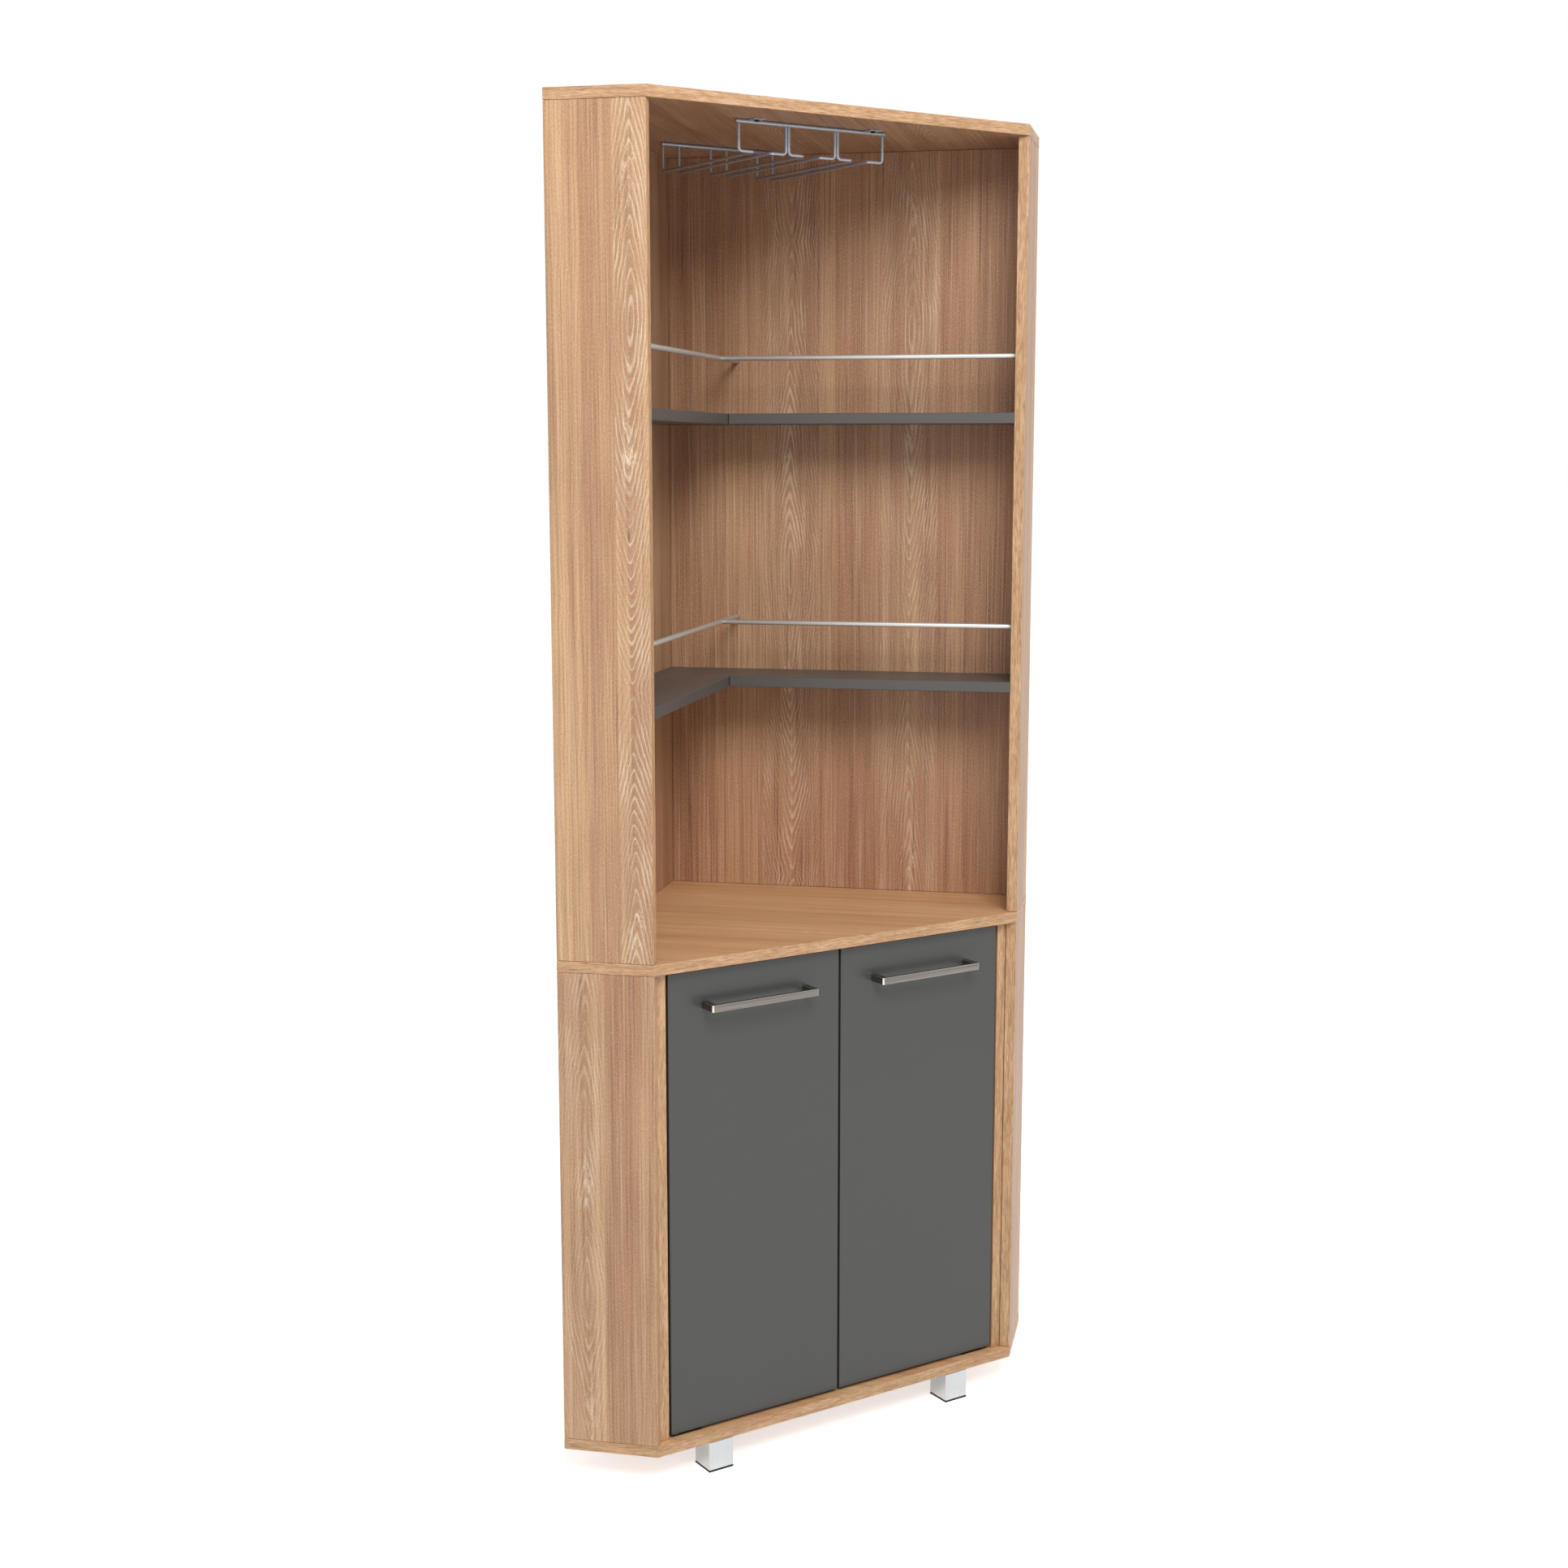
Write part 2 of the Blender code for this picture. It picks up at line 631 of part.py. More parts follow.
def doors(root, post_inner):
    """Both doors with their hinges, handles and strike plates.

    Each door hangs from an empty on its hinge axis, at floor level.
    """
    width = post_inner - DOOR_GAP - DOOR_GAP / 2
    outer_edge = post_inner - DOOR_GAP
    for side, word in SIDES.items():
        axis_x = side * (outer_edge - PIN_FROM_EDGE)
        axis_y = DOOR_FACE_Y + PIN_FROM_FACE
        holder = empty(f"door_{word}_axis", (axis_x, axis_y, 0), root)
        centre_x = side * (outer_edge - width / 2) - axis_x
        name = f"door_{word}"
        size = (width, DOOR_THICKNESS, DOOR_TOP - DOOR_LOW)
        place = (centre_x, DOOR_FACE_Y + DOOR_THICKNESS / 2 - axis_y, (DOOR_LOW + DOOR_TOP) / 2)
        door = add_object(name, block_mesh(name, size), CHARCOAL, holder, place)
        ease_edges(door, EDGE_EASE)
        hole = PIN_RADIUS + PIN_PLAY + BUSH_WALL + SEAT
        for end, edge, seat, direction in (
            ("bottom", DOOR_LOW, BOTTOM_TOP, 1),
            ("top", DOOR_TOP, WORKTOP_LOW, -1),
        ):
            hinge_plate(f"hinge_plate_{word}_{end}", side, (axis_x, axis_y), seat, direction, root)
            hinge_bush(f"hinge_bush_{word}_{end}", -direction, edge, abs(edge - seat), holder)
            mouth = (0, 0, edge - direction * CUT_OVERRUN)
            bottom = (0, 0, edge + direction * (BUSH_LENGTH + SEAT))
            bore(door, mouth, bottom, hole, holder, FINE_ROUND)
        door_handle(word, centre_x, door, holder)
        strike = f"strike_plate_{word}"
        strike_size = (STRIKE_WIDTH, STRIKE_THICKNESS, STRIKE_HEIGHT)
        strike_place = (
            side * (DOOR_GAP / 2 + STRIKE_FROM_EDGE + STRIKE_WIDTH / 2) - axis_x,
            DOOR_BACK_Y + SEAT + STRIKE_THICKNESS / 2 - axis_y,
            WORKTOP_LOW - SEAT - CATCH_HEIGHT / 2,
        )
        add_object(strike, block_mesh(strike, strike_size), HINGE_STEEL, holder, strike_place)


def magnetic_catch(root):
    """One double catch under the worktop that stops and holds both doors."""
    front = DOOR_BACK_Y + SEAT + STRIKE_THICKNESS + SEAT
    top = WORKTOP_LOW - SEAT
    size = (CATCH_WIDTH, CATCH_DEPTH, CATCH_HEIGHT)
    place = (0, front + CATCH_DEPTH / 2, top - CATCH_HEIGHT / 2)
    catch = add_object("magnetic_catch", block_mesh("magnetic_catch", size), NYLON, root, place)
    ease_edges(catch, CATCH_EASE)
    ear_size = (CATCH_WIDTH + 2 * CATCH_EAR, CATCH_DEPTH - 2 * CATCH_EASE, CATCH_EAR_HEIGHT)
    ear_place = (0, place[1], top - CATCH_EAR_HEIGHT / 2)
    ear_mesh = block_mesh("magnetic_catch_ears", ear_size)
    ears = add_object("magnetic_catch_ears", ear_mesh, None, root, ear_place)
    combine(catch, ears, "UNION")


def legs(root, bottom_board):
    """Two legs under the front edge and one near the back corner."""
    front_y = LEG_SET_BACK + LEG_WIDTH / 2
    places = {
        "left": (-LEG_X, front_y),
        "right": (LEG_X, front_y),
        "back": (0, BACK_CORNER_Y - BACK_LEG_FROM_CORNER),
    }
    low = PAD_THICKNESS + SEAT
    high = BOTTOM_LOW - SEAT
    inside = LEG_WIDTH - 2 * LEG_WALL
    roof = high - LEG_CAP
    for word, (x, y) in places.items():
        name = f"leg_{word}"
        size = (LEG_WIDTH, LEG_WIDTH, high - low)
        leg = add_object(name, block_mesh(name, size), LEG_METAL, root, (x, y, (low + high) / 2))
        ease_edges(leg, LEG_EASE)
        hollow_low = low - CUT_OVERRUN
        hollow_size = (inside, inside, roof - hollow_low)
        hollow_name = f"{name}_hollow"
        hollow_place = (x, y, (hollow_low + roof) / 2)
        hollow = add_object(hollow_name, block_mesh(hollow_name, hollow_size), None, root, hollow_place)
        combine(leg, hollow, "DIFFERENCE")
        stud_low = high - LEG_CAP / 2
        stud_high = BOTTOM_LOW + STUD_LENGTH
        stud = bar_between(f"{name}_stud", (x, y, stud_low), (x, y, stud_high), STUD_RADIUS, None, root)
        combine(leg, stud, "UNION")
        hole = STUD_RADIUS + SEAT
        bore(bottom_board, (x, y, BOTTOM_LOW - CUT_OVERRUN), (x, y, stud_high + SEAT), hole, root)

        pad_name = f"foot_pad_{word}"
        pad_size = (LEG_WIDTH, LEG_WIDTH, PAD_THICKNESS)
        pad_place = (x, y, PAD_THICKNESS / 2)
        pad = add_object(pad_name, block_mesh(pad_name, pad_size), DARK_RUBBER, root, pad_place)
        spigot_width = inside - 2 * SEAT
        spigot_low = PAD_THICKNESS / 2
        spigot_high = PAD_THICKNESS + PAD_SPIGOT
        spigot_size = (spigot_width, spigot_width, spigot_high - spigot_low)
        spigot_name = f"{pad_name}_spigot"
        spigot_place = (x, y, (spigot_low + spigot_high) / 2)
        spigot = add_object(spigot_name, block_mesh(spigot_name, spigot_size), None, root, spigot_place)
        combine(pad, spigot, "UNION")


def build_cabinet():
    """Model every piece of the cabinet."""
    clear_scene()
    root = empty("cabinet", (0, -ORIGIN_Y, 0))
    levels = level_boards(root)
    uprights = upright_boards(root)
    post_inner = door_posts(root)
    shelves(root)
    guard_rods(root, uprights)
    glass_rack(root, levels["top_board"])
    doors(root, post_inner)
    magnetic_catch(root)
    legs(root, levels["bottom_board"])


build_cabinet()
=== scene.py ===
"""Looks of a corner bar cabinet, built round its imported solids.

The boards keep their solids and get a printed oak decor whose planks, cathedral
figures and edge bands are laid out board by board. The rods, the glass rack, the
handles, the legs and the small fittings are modelled again in finer form where
their solids stand.
"""

import logging
import math
from collections.abc import Sequence
from dataclasses import dataclass, replace
from enum import Enum
from functools import reduce
from typing import ClassVar

import bmesh
import bpy
from bmesh.types import BMesh, BMVert
from bpy.types import Material, Node, NodeSocket as Socket, NodeTree
from mathutils import Matrix, Vector

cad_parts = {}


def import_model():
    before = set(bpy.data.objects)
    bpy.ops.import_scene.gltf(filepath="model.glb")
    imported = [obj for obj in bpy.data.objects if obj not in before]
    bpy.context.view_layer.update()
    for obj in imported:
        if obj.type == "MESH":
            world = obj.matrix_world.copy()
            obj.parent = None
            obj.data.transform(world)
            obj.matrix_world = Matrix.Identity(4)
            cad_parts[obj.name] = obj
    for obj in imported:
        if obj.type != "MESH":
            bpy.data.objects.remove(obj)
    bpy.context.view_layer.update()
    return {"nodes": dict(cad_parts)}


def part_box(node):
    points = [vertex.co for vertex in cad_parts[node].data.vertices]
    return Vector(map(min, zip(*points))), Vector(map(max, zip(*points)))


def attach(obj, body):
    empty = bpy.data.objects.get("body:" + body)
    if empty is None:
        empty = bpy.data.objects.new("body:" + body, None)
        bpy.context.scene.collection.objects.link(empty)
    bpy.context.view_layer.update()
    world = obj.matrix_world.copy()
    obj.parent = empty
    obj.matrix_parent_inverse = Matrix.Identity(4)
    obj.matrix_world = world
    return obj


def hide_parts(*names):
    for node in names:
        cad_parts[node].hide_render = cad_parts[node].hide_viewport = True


LOG = logging.getLogger("corner_bar_cabinet")
DIAGONAL = math.sqrt(0.5)
CASE = "case"
SIDES = {"left": -1, "right": 1}
STAGES = ("upper", "lower")
UP = Vector((0, 0, 1))
JOINT_GAP = 0.0003
SHARP_ANGLE = math.radians(35)
WELD_DISTANCE = 1e-6
FINE_STEPS = 3
SMALL_FACETS = 24
WIRE_RESOLUTION = 4
Colour = Place = tuple[float, float, float]


def linear(*screen: int) -> Colour:
    """Turn the red, green and blue that a screen shows, each up to 255, into a linear colour."""
    shares = (part / 255 for part in screen)
    return tuple(c / 12.92 if c <= 0.04045 else ((c + 0.055) / 1.055) ** 2.4 for c in shares)


class Graph:
    """A node tree with short calls for the nodes that the finishes use."""

    def __init__(self, tree: NodeTree) -> None:
        """Keep the tree that the calls add to."""
        self.tree = tree

    def node(self, kind: str, *values: object, **settings: object) -> Node:
        """Add a node, feed its first inputs and set its properties.

        Args:
            kind: The node's type name.
            *values: Its first inputs, each a socket or a value.
            **settings: Property values by name.

        Returns:
            The new node.
        """
        made = self.tree.nodes.new(kind)
        for name, value in settings.items():
            setattr(made, name, value)
        for socket, value in zip(made.inputs, values):
            self.feed(socket, value)
        return made

    def feed(self, socket: Socket, value: object) -> None:
        """Link a socket to another, or set its own value.

        Args:
            socket: The input to feed.
            value: A socket, a number, or a colour of three components.
        """
        if isinstance(value, Socket):
            self.tree.links.new(value, socket)
        elif isinstance(value, tuple) and socket.type == "RGBA":
            socket.default_value = (*value, 1.0)
        else:
            socket.default_value = value

    def feed_all(self, node: Node, values: dict[str, object]) -> None:
        """Feed some of a node's inputs, found by their names."""
        for name, value in values.items():
            self.feed(node.inputs[name], value)

    def math(self, operation: str, *values: object) -> Socket:
        """Return the result of a Math node for its operation and its inputs."""
        return self.node("ShaderNodeMath", *values, operation=operation).outputs[0]

    def times(self, first: object, second: object) -> Socket:
        """Multiply two values."""
        return self.math("MULTIPLY", first, second)

    def ramp(
        self, value: object, low: float, high: float, start: float = 0.0, end: float = 1.0
    ) -> Socket:
        """Map a value smoothly from low and high to start and end."""
        values = (value, low, high, start, end)
        return self.node("ShaderNodeMapRange", *values, interpolation_type="SMOOTHSTEP").outputs[0]

    def vector(self, x: object, y: object, z: object) -> Socket:
        """Join three values to a vector."""
        return self.node("ShaderNodeCombineXYZ", x, y, z).outputs[0]

    def split(self, vector: Socket) -> tuple[Socket, ...]:
        """Split a vector into its X, Y and Z."""
        return tuple(self.node("ShaderNodeSeparateXYZ", vector).outputs)

    def place(self) -> Socket:
        """Where the surface is, in the piece's own coordinates."""
        return self.node("ShaderNodeTexCoord").outputs["Object"]

    def facing(self) -> Socket:
        """Which way the flat face points."""
        return self.node("ShaderNodeNewGeometry").outputs["True Normal"]

    def mapped(self, place: Socket, **settings: tuple) -> Socket:
        """Move, turn or stretch a place with a Mapping node.

        Args:
            place: The place.
            **settings: Its Location, Rotation or Scale.

        Returns:
            The new place's socket.
        """
        made = self.node("ShaderNodeMapping", place, vector_type="POINT")
        self.feed_all(made, settings)
        return made.outputs[0]

    def noise(
        self, place: Socket, scale: float = 1.0, detail: float = 2.0, rough: float = 0.5
    ) -> Socket:
        """Add a Noise texture.

        Args:
            place: Where it is read.
            scale: Its scale.
            detail: Its octaves.
            rough: How much the small octaves count.

        Returns:
            Its value's socket.
        """
        made = self.node("ShaderNodeTexNoise")
        self.feed_all(made, {"Vector": place, "Scale": scale, "Detail": detail, "Roughness": rough})
        return made.outputs[0]

    def mix(self, share: object, first: object, second: object) -> Socket:
        """Mix two colours.

        Args:
            share: How much of the second, from 0 to 1.
            first: The first colour.
            second: The second colour.

        Returns:
            The mixed colour's socket.
        """
        made = self.node("ShaderNodeMix", share, data_type="RGBA", clamp_factor=True)
        self.feed(made.inputs[6], first)
        self.feed(made.inputs[7], second)
        return made.outputs[2]

    def bump(self, height: Socket, distance: float, strength: float) -> Socket:
        """Turn a height into a normal.

        Args:
            height: The height, from 0 to 1.
            distance: What a height of 1 stands for, in metres.
            strength: How much of it shows.

        Returns:
            The normal's socket.
        """
        made = self.node("ShaderNodeBump")
        self.feed_all(made, {"Height": height, "Distance": distance, "Strength": strength})
        return made.outputs[0]


def new_material(name: str) -> tuple[Material, Graph, Node]:
    """Add a material with a Principled shader.

    Args:
        name: The material's name.

    Returns:
        The material, its graph and its shader.
    """
    made = bpy.data.materials.new(name)
    made.use_nodes = True
    shader = made.node_tree.nodes["Principled BSDF"]
    return made, Graph(made.node_tree), shader


def wear(node: bpy.types.Object, material: Material) -> None:
    """Give a solid that keeps its mesh its finish."""
    node.material_slots[0].material = material
    LOG.info("%s wears %s", node.name, material.name)


def place_object(name: str, data: bpy.types.ID) -> bpy.types.Object:
    """Add an object to the scene.

    Args:
        name: The object's name.
        data: Its mesh, curve, lamp or camera.

    Returns:
        The new object.
    """
    made = bpy.data.objects.new(name, data)
    bpy.context.scene.collection.objects.link(made)
    return made


@dataclass(frozen=True)
class Plank:
    """One printed plank of the decor, a strip along the grain.

    start is where it begins across the board, pith is the middle of its figure,
    and crest is the height at which the figure closes to an oval, all in metres.
    tone runs from 0, a pinkish brown, to 1, golden, and figure from 0, straight
    grain, to 1, a limed cathedral figure.
    """

    start: float
    pith: float
    tone: float
    figure: float = 0.0
    crest: float = 0.0


def planks(*rows: tuple[float, ...]) -> tuple[Plank, ...]:
    """Turn rows of a plank's numbers into planks."""
    return tuple(Plank(*row) for row in rows)


class OakPrint:
    """The pattern that every oak board shares, as one node group.

    RINGS and CROWDING set how many growth rings cross a metre of board and how
    they crowd away from the pith. ARCHES is how many arches of a figure follow
    each other in a metre of height, and OVAL is half the length of its ovals.
    """

    NAME = "oak_print"
    SOCKETS = ("Across", "Along", "Pith", "Tone", "Figure", "Crest", "Seed")
    PINKISH = linear(177, 131, 99)
    GOLDEN = linear(223, 182, 139)
    BROWN = linear(128, 84, 57)
    DARK = linear(100, 60, 38)
    LIMED = linear(240, 216, 188)
    KNOT = linear(84, 52, 34)
    RINGS = 145
    CROWDING = 1900
    ARCHES = 48
    OVAL = 0.47

    def group(self) -> NodeTree:
        """Build the group on first use.

        Returns:
            The group.
        """
        found = bpy.data.node_groups.get(self.NAME)
        if found:
            return found
        tree = bpy.data.node_groups.new(self.NAME, "ShaderNodeTree")
        for name in self.SOCKETS:
            tree.interface.new_socket(name, in_out="INPUT", socket_type="NodeSocketFloat")
        for name, kind in (("Colour", "NodeSocketColor"), ("Height", "NodeSocketFloat")):
            tree.interface.new_socket(name, in_out="OUTPUT", socket_type=kind)
        self._fill(Graph(tree))
        return tree

    def _fill(self, g: Graph) -> None:
        """Lay the grain, the figure and the colours.

        Args:
            g: The group's graph.
        """
        given = {socket.name: socket for socket in g.node("NodeGroupInput").outputs if socket.name}
        across, along, figure = given["Across"], given["Along"], given["Figure"]

        def spot(wide: float, long: float, step: float) -> Socket:
            """A place that is stretched along the grain, shifted by the seed."""
            return g.vector(g.times(across, wide), g.times(along, long), g.math("ADD", given["Seed"], step))

        def drift(wide: float, long: float, step: float, detail: float, reach: float) -> Socket:
            """Noise that moves a line by up to a reach to either side."""
            return g.math("MULTIPLY_ADD", g.noise(spot(wide, long, step), detail=detail), 2 * reach, -reach)

        def grain(
            wide: float, long: float, step: float, detail: float, *ends: float, rough: float = 0.5
        ) -> Socket:
            """Noise that is stretched along the grain and mapped as in ramp."""
            return g.ramp(g.noise(spot(wide, long, step), detail=detail, rough=rough), *ends)

        wander, sway = drift(3, 1.1, 0, 1, 0.013), drift(14, 6, 3, 2, 0.006)
        ripple = drift(110, 28, 5, 2, 0.0022)
        offset = g.math("SUBTRACT", across, given["Pith"])
        x = g.math("ADD", g.math("ADD", offset, wander), g.math("ADD", sway, ripple))
        wide = g.math("ABSOLUTE", x)
        rounded = g.math("SQRT", g.math("MULTIPLY_ADD", x, x, 0.0022**2))
        crowd = g.times(g.math("MINIMUM", wide, 0.03), wide)
        rise = g.math("PINGPONG", g.math("SUBTRACT", along, given["Crest"]), self.OVAL)
        rise = g.math("SQRT", g.math("MULTIPLY_ADD", rise, rise, 0.045**2))
        climb = g.times(g.times(g.math("ADD", rise, drift(6, 3.4, 7, 1, 0.08)), self.ARCHES), figure)
        rings = g.math("ADD", g.times(rounded, self.RINGS), g.times(crowd, self.CROWDING))
        turn = g.math("FRACT", g.math("ADD", rings, climb))
        off_line = g.math("ABSOLUTE", g.math("SUBTRACT", turn, 0.5))
        thickness = grain(34, 11, 9, 1, 0.35, 0.65, 0.12, 0.34)
        ring_line = g.ramp(g.math("DIVIDE", off_line, thickness), 0.25, 1.0, 1.0, 0.0)

        fibre = grain(800, 30, 13, 1, 0.34, 0.60, 0.55, 1.0)
        patchy = grain(30, 9, 15, 1, 0.36, 0.62, 0.30, 1.0)
        near = g.ramp(wide, 0.014, 0.044, 1.0, 0.60)
        limed = g.times(g.times(ring_line, figure), g.times(fibre, near))
        limed = g.times(limed, patchy)
        streak = grain(240, 2.2, 17, 5, 0.46, 0.68, rough=0.66)
        dark_line = grain(380, 3.2, 27, 4, 0.53, 0.70, rough=0.72)
        open_grain = g.math("MULTIPLY_ADD", given["Tone"], -0.85, 0.86)
        coarse = grain(70, 0.9, 18, 2, 0.50, 0.72)
        pale_streak = grain(330, 3.4, 21, 3, 0.50, 0.72, rough=0.6)
        band = grain(30, 0.6, 19, 2, 0.34, 0.66)
        fleck, pore = grain(950, 330, 23, 1, 0.50, 0.68), grain(880, 290, 25, 1, 0.50, 0.68)
        plain_line = g.times(ring_line, g.math("MULTIPLY_ADD", figure, -0.9, 1.0))

        belt = g.ramp(g.math("ABSOLUTE", g.math("ADD", rise, -0.17)), 0.010, 0.045, 1.0, 0.0)
        belt = g.times(belt, g.ramp(wide, 0.006, 0.015, 1.0, 0.0))
        patch = g.times(grain(90, 40, 29, 1, 0.46, 0.62), belt)
        cracks = g.node("ShaderNodeTexVoronoi", spot(330, 150, 37), feature="DISTANCE_TO_EDGE")
        g.feed(cracks.inputs["Scale"], 1.0)
        crackle = g.times(g.ramp(cracks.outputs["Distance"], 0.05, 0.22, 1.0, 0.0), patch)
        crackle = g.times(crackle, figure)

        cells = g.node("ShaderNodeTexVoronoi", spot(9, 2.4, 31), feature="F1")
        g.feed(cells.inputs["Scale"], 1.0)
        lot = g.node("ShaderNodeSeparateColor", cells.outputs["Color"]).outputs[0]
        chosen = g.math("GREATER_THAN", lot, 0.6)
        knot = g.times(g.ramp(cells.outputs["Distance"], 0.008, 0.026, 1.0, 0.0), chosen)

        cloud = grain(11, 3.2, 33, 2, 0.38, 0.66)
        shade = g.times(turn, g.math("MULTIPLY_ADD", figure, 0.14, 0.08))
        tone = g.math("ADD", given["Tone"], g.math("MULTIPLY_ADD", band, 0.44, -0.22))
        colour = g.mix(tone, self.PINKISH, self.GOLDEN)
        colour = g.mix(g.math("MULTIPLY_ADD", cloud, 0.14, shade), colour, self.BROWN)
        layers = (
            (plain_line, 0.22, self.BROWN), (coarse, 0.28, self.BROWN), (streak, 0.50, self.BROWN),
            (dark_line, open_grain, self.DARK), (pore, 0.26, self.BROWN),
        )
        for mask, strength, tint in layers:
            colour = g.mix(g.times(mask, strength), colour, tint)
        pale = g.math("MULTIPLY_ADD", fleck, 0.18, g.times(limed, 0.60))
        pale = g.math("MULTIPLY_ADD", pale_streak, 0.24, pale)
        pale = g.math("ADD", pale, g.times(crackle, 0.42))
        colour = g.mix(g.times(knot, 0.7), g.mix(pale, colour, self.LIMED), self.KNOT)
        height = g.math("SUBTRACT", g.times(fleck, 0.35), g.math("ADD", streak, limed))
        g.node("NodeGroupOutput", colour, height)


class Grain(Enum):
    """Which way the grain of a board runs."""

    UP = "up"
    LEVEL = "level"


class Band(Enum):
    """Where a board shows its edge band instead of the decor."""

    RIM = "rim"
    FRONT_END = "front end"
    NONE = "none"


@dataclass(frozen=True)
class OakDecor:
    """The oak finish of one board.

    heading is the plan angle, in degrees, of the direction across an upright
    board, or of the grain on one that lies flat. The planks lie side by side
    from the board's lowest place across it. A share, up to 1, of a golden tint
    paints light from above onto them, lighter and warmer.
    The print takes places up to reach across and crests up to crest_span high.
    """

    name: str
    heading: float
    planks: tuple[Plank, ...]
    seed: float
    grain: Grain = Grain.UP
    band: Band = Band.NONE
    warmth: float = 0.0
    reach: float = 0.8
    crest_span: float = 4.0
    band_depth: float = 0.0008
    # A golden tint that paints light from above onto boards that lie flat.
    TOP_LIGHT_TINT: ClassVar[Colour] = linear(252, 184, 116)

    def build(self, node: bpy.types.Object) -> Material:
        """Make the material, laid out from the edge of the board.

        Args:
            node: The board that it is for, whose place sets the layout.

        Returns:
            The material.
        """
        made, g, shader = new_material(self.name)
        upright = self.grain is Grain.UP
        low, high = self._extent(node, self.heading if upright else self.heading + 90)
        place = g.place()
        start = (-low, 0, 0) if upright else (0, -low, 0)
        turned = g.mapped(place, Location=start, Rotation=(0, 0, math.radians(-self.heading)))
        x, y, z = g.split(turned)
        across, along = (x, z) if upright else (y, x)
        oak = self._print(g, across, along)
        colour = oak.outputs["Colour"]
        # Painted top light: the print is tinted lighter and golden.
        if self.warmth:
            colour = g.mix(self.warmth, colour, self.TOP_LIGHT_TINT)
        if self.band is not Band.NONE:
            colour = g.mix(self._band_mask(g, across, high - low), colour, self._band_colour(g, place))
        normal = g.bump(oak.outputs["Height"], 0.00012, 0.5)
        g.feed_all(shader, {"Base Color": colour, "Normal": normal})
        g.feed_all(shader, {"Roughness": 0.46, "Specular IOR Level": 0.42})
        return made

    @staticmethod
    def _extent(node: bpy.types.Object, heading: float) -> tuple[float, float]:
        """Measure a board.

        Args:
            node: The board.
            heading: A plan angle in degrees.

        Returns:
            Its least and greatest place along the heading.
        """
        turn = math.radians(heading)
        direction = Vector((math.cos(turn), math.sin(turn), 0))
        places = [direction.dot(vertex.co) for vertex in node.data.vertices]
        return min(places), max(places)

    def _print(self, g: Graph, across: object, along: object) -> Node:
        """Place the shared print and hand it the values of each plank.

        Args:
            g: The material's graph.
            across: The place across the board.
            along: The place along its grain.

        Returns:
            The group's node.
        """
        ramp = g.node("ShaderNodeValToRGB", g.math("DIVIDE", across, self.reach))
        ramp.color_ramp.interpolation = "CONSTANT"
        stops = ramp.color_ramp.elements
        while len(stops) < len(self.planks):
            stops.new(1.0)
        for stop, plank in zip(stops, self.planks):
            stop.position = plank.start / self.reach
        for stop, plank in zip(stops, self.planks):
            stop.color = (plank.pith / self.reach, plank.tone, plank.figure, plank.crest / self.crest_span)
        values = g.node("ShaderNodeSeparateColor", ramp.outputs["Color"]).outputs
        oak = g.node("ShaderNodeGroup", node_tree=OakPrint().group())
        pith, crest = g.times(values[0], self.reach), g.times(ramp.outputs["Alpha"], self.crest_span)
        for socket, value in zip(oak.inputs, (across, along, pith, values[1], values[2], crest, self.seed)):
            g.feed(socket, value)
        return oak

    def _band_mask(self, g: Graph, across: object, width: float) -> Socket:
        """Find the faces that carry the edge band.

        Args:
            g: The material's graph.
            across: The place across the board.
            width: How wide the board is.

        Returns:
            The socket of a mask that is one on them.
        """
        if self.band is Band.FRONT_END:
            return g.math("GREATER_THAN", across, width - self.band_depth)
        return g.math("LESS_THAN", g.math("ABSOLUTE", g.split(g.facing())[2]), 0.95)

    def _band_colour(self, g: Graph, place: Socket) -> Socket:
        """Draw short fine lines along the edge.

        Args:
            g: The material's graph.
            place: The place on the piece.

        Returns:
            The colour of the edge band.
        """
        stretch = (430, 430, 34) if self.grain is Grain.UP else (42, 42, 600)
        drawn = g.mapped(place, Scale=stretch)
        lines = g.ramp(g.noise(drawn, 1.0, 4, 0.66), 0.46, 0.60)
        pores = g.ramp(g.noise(drawn, 2.2, 2), 0.53, 0.62)
        flecks = g.ramp(g.noise(drawn, 1.5, 2), 0.47, 0.36)
        drift = g.ramp(g.noise(drawn, 0.22, 1), 0.35, 0.65)
        golden = g.mix(drift, linear(210, 169, 129), linear(193, 151, 111))
        golden = g.mix(g.times(flecks, 0.36), golden, linear(233, 201, 165))
        golden = g.mix(g.times(lines, 0.38), golden, linear(132, 90, 58))
        return g.mix(g.times(pores, 0.34), golden, linear(112, 76, 50))


@dataclass(frozen=True)
class Finish:
    """A finish with a name, a colour and a roughness."""

    name: str
    tint: Colour
    roughness: float

    def build(self) -> Material:
        """Make the material on first use.

        Returns:
            The material.
        """
        made = bpy.data.materials.get(self.name)
        if not made:
            made, g, shader = new_material(self.name)
            g.feed(shader.inputs["Roughness"], self.roughness)
            self._fill(g, shader)
        return made

    def _fill(self, g: Graph, shader: Node) -> None:
        """Lay the colours and marks, as each kind of finish does."""
        raise NotImplementedError

    def _shade(self, share: float) -> Colour:
        """The finish's colour, made lighter or darker."""
        return tuple(c * share for c in self.tint)


